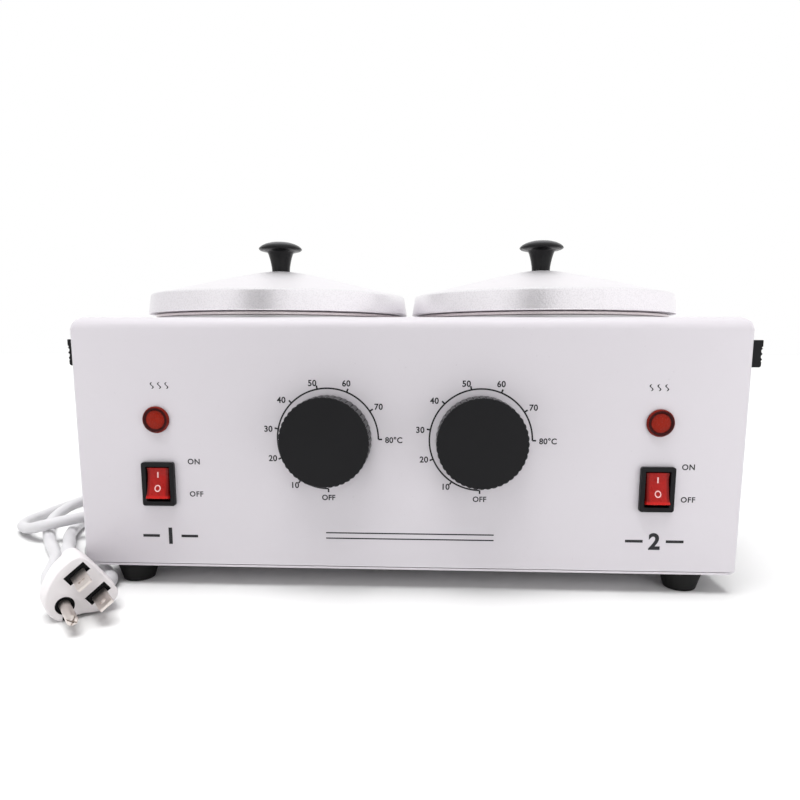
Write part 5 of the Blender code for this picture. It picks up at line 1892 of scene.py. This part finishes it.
def dress_nodes():
    """Finishes for the nodes whose own shape stays."""
    dressed = {"base_tray": ("paint", "white_paint"), "terminal_block": ("cream", "cream_plastic")}
    for side_name in side_names:
        dressed[f"{side_name}_heater_band"] = ("mica", "heater_mica")
        dressed[f"{side_name}_thermostat_body"] = ("cream", "cream_plastic")
        dressed[f"{side_name}_sensing_bulb"] = ("copper", "copper")
        dressed[f"{side_name}_lamp_body"] = ("black", "black_plastic")
        dressed[f"{side_name}_thermostat_spindle"] = ("zinc", "zinc_steel")
    for node, (finish_name, slot) in dressed.items():
        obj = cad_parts[node]
        obj.data.materials.clear()
        obj.data.materials.append(finish(finish_name))


class WARMER_OT_stage(bpy.types.Operator):
    """Make the floor, the light and the camera"""

    bl_idname = "warmer.stage"
    bl_label = "Stage"

    def execute(self, context):
        make_stage(context)
        return {"FINISHED"}


class WARMER_OT_lead(bpy.types.Operator):
    """Make the mains lead with its strain relief and plug"""

    bl_idname = "warmer.lead"
    bl_label = "Mains lead and plug"

    def execute(self, context):
        lead = make_lead(context)
        ends = [make_relief(), make_plug_body(), *make_blades(context)]
        return {"FINISHED"}


class WARMER_OT_housing(bpy.types.Operator):
    """Make the folded housing and its feet"""

    bl_idname = "warmer.housing"
    bl_label = "Housing and feet"

    def execute(self, context):
        make_housing(context)
        make_feet(context)
        return {"FINISHED"}


class WARMER_OT_handles(bpy.types.Operator):
    """Make the two end handles"""

    bl_idname = "warmer.handles"
    bl_label = "Handles"

    def execute(self, context):
        make_handles(context)
        return {"FINISHED"}


class WARMER_OT_pots(bpy.types.Operator):
    """Make the wells and the lift-out pots"""

    bl_idname = "warmer.pots"
    bl_label = "Wells and pots"

    def execute(self, context):
        make_wells(context)
        make_pots(context)
        return {"FINISHED"}


class WARMER_OT_lids(bpy.types.Operator):
    """Make the lids and their knobs"""

    bl_idname = "warmer.lids"
    bl_label = "Lids and knobs"

    def execute(self, context):
        make_lids(context)
        make_knobs()
        return {"FINISHED"}


class WARMER_OT_dials(bpy.types.Operator):
    """Make the thermostat dials"""

    bl_idname = "warmer.dials"
    bl_label = "Dials"

    def execute(self, context):
        make_dials(context)
        return {"FINISHED"}


class WARMER_OT_switches(bpy.types.Operator):
    """Make the rocker switches"""

    bl_idname = "warmer.switches"
    bl_label = "Switches"

    def execute(self, context):
        make_switches(context)
        return {"FINISHED"}


class WARMER_OT_lamps(bpy.types.Operator):
    """Make the lamps"""

    bl_idname = "warmer.lamps"
    bl_label = "Lamps"

    def execute(self, context):
        make_lamps(context)
        return {"FINISHED"}


class WARMER_OT_marks(bpy.types.Operator):
    """Make the marks printed on the panel"""

    bl_idname = "warmer.marks"
    bl_label = "Printed marks"

    def execute(self, context):
        make_marks(context)
        return {"FINISHED"}


class WARMER_OT_screws(bpy.types.Operator):
    """Make the screws"""

    bl_idname = "warmer.screws"
    bl_label = "Screws"

    def execute(self, context):
        make_screws()
        return {"FINISHED"}


class WARMER_OT_inside(bpy.types.Operator):
    """Finish the pieces whose own shape stays"""

    bl_idname = "warmer.inside"
    bl_label = "Inner pieces"

    def execute(self, context):
        dress_nodes()
        return {"FINISHED"}


operators = (
    WARMER_OT_stage,
    WARMER_OT_lead,
    WARMER_OT_housing,
    WARMER_OT_handles,
    WARMER_OT_pots,
    WARMER_OT_lids,
    WARMER_OT_dials,
    WARMER_OT_switches,
    WARMER_OT_lamps,
    WARMER_OT_marks,
    WARMER_OT_screws,
    WARMER_OT_inside,
)
groups = {
    "warmer_housing": WarmerHousingSizes,
    "warmer_pots": WarmerPotSizes,
    "warmer_controls": WarmerControlSizes,
    "warmer_cord": WarmerCordSizes,
    "warmer_colours": WarmerColours,
    "warmer_stage": WarmerStage,
}


class WARMER_PT_panel(bpy.types.Panel):
    """Lists the steps and the values that they use"""

    bl_idname = "WARMER_PT_panel"
    bl_label = "Double wax warmer"
    bl_space_type = "VIEW_3D"
    bl_region_type = "UI"
    bl_category = "Warmer"

    def draw(self, context):
        for operator in operators:
            self.layout.operator(operator.bl_idname)
        for attribute, group in groups.items():
            box = self.layout.box()
            box.label(text=group.__doc__)
            for name in group.__annotations__:
                box.prop(getattr(context.scene, attribute), name)


def register():
    for attribute, group in groups.items():
        bpy.utils.register_class(group)
        setattr(bpy.types.Scene, attribute, bpy.props.PointerProperty(type=group))
    for operator in operators:
        bpy.utils.register_class(operator)
    bpy.utils.register_class(WARMER_PT_panel)


def unregister():
    bpy.utils.unregister_class(WARMER_PT_panel)
    for operator in reversed(operators):
        bpy.utils.unregister_class(operator)
    for attribute, group in reversed(list(groups.items())):
        delattr(bpy.types.Scene, attribute)
        bpy.utils.unregister_class(group)


def main():
    register()
    for operator in operators:
        family, step = operator.bl_idname.split(".")
        getattr(getattr(bpy.ops, family), step)()


if __name__ == "__main__":
    main()
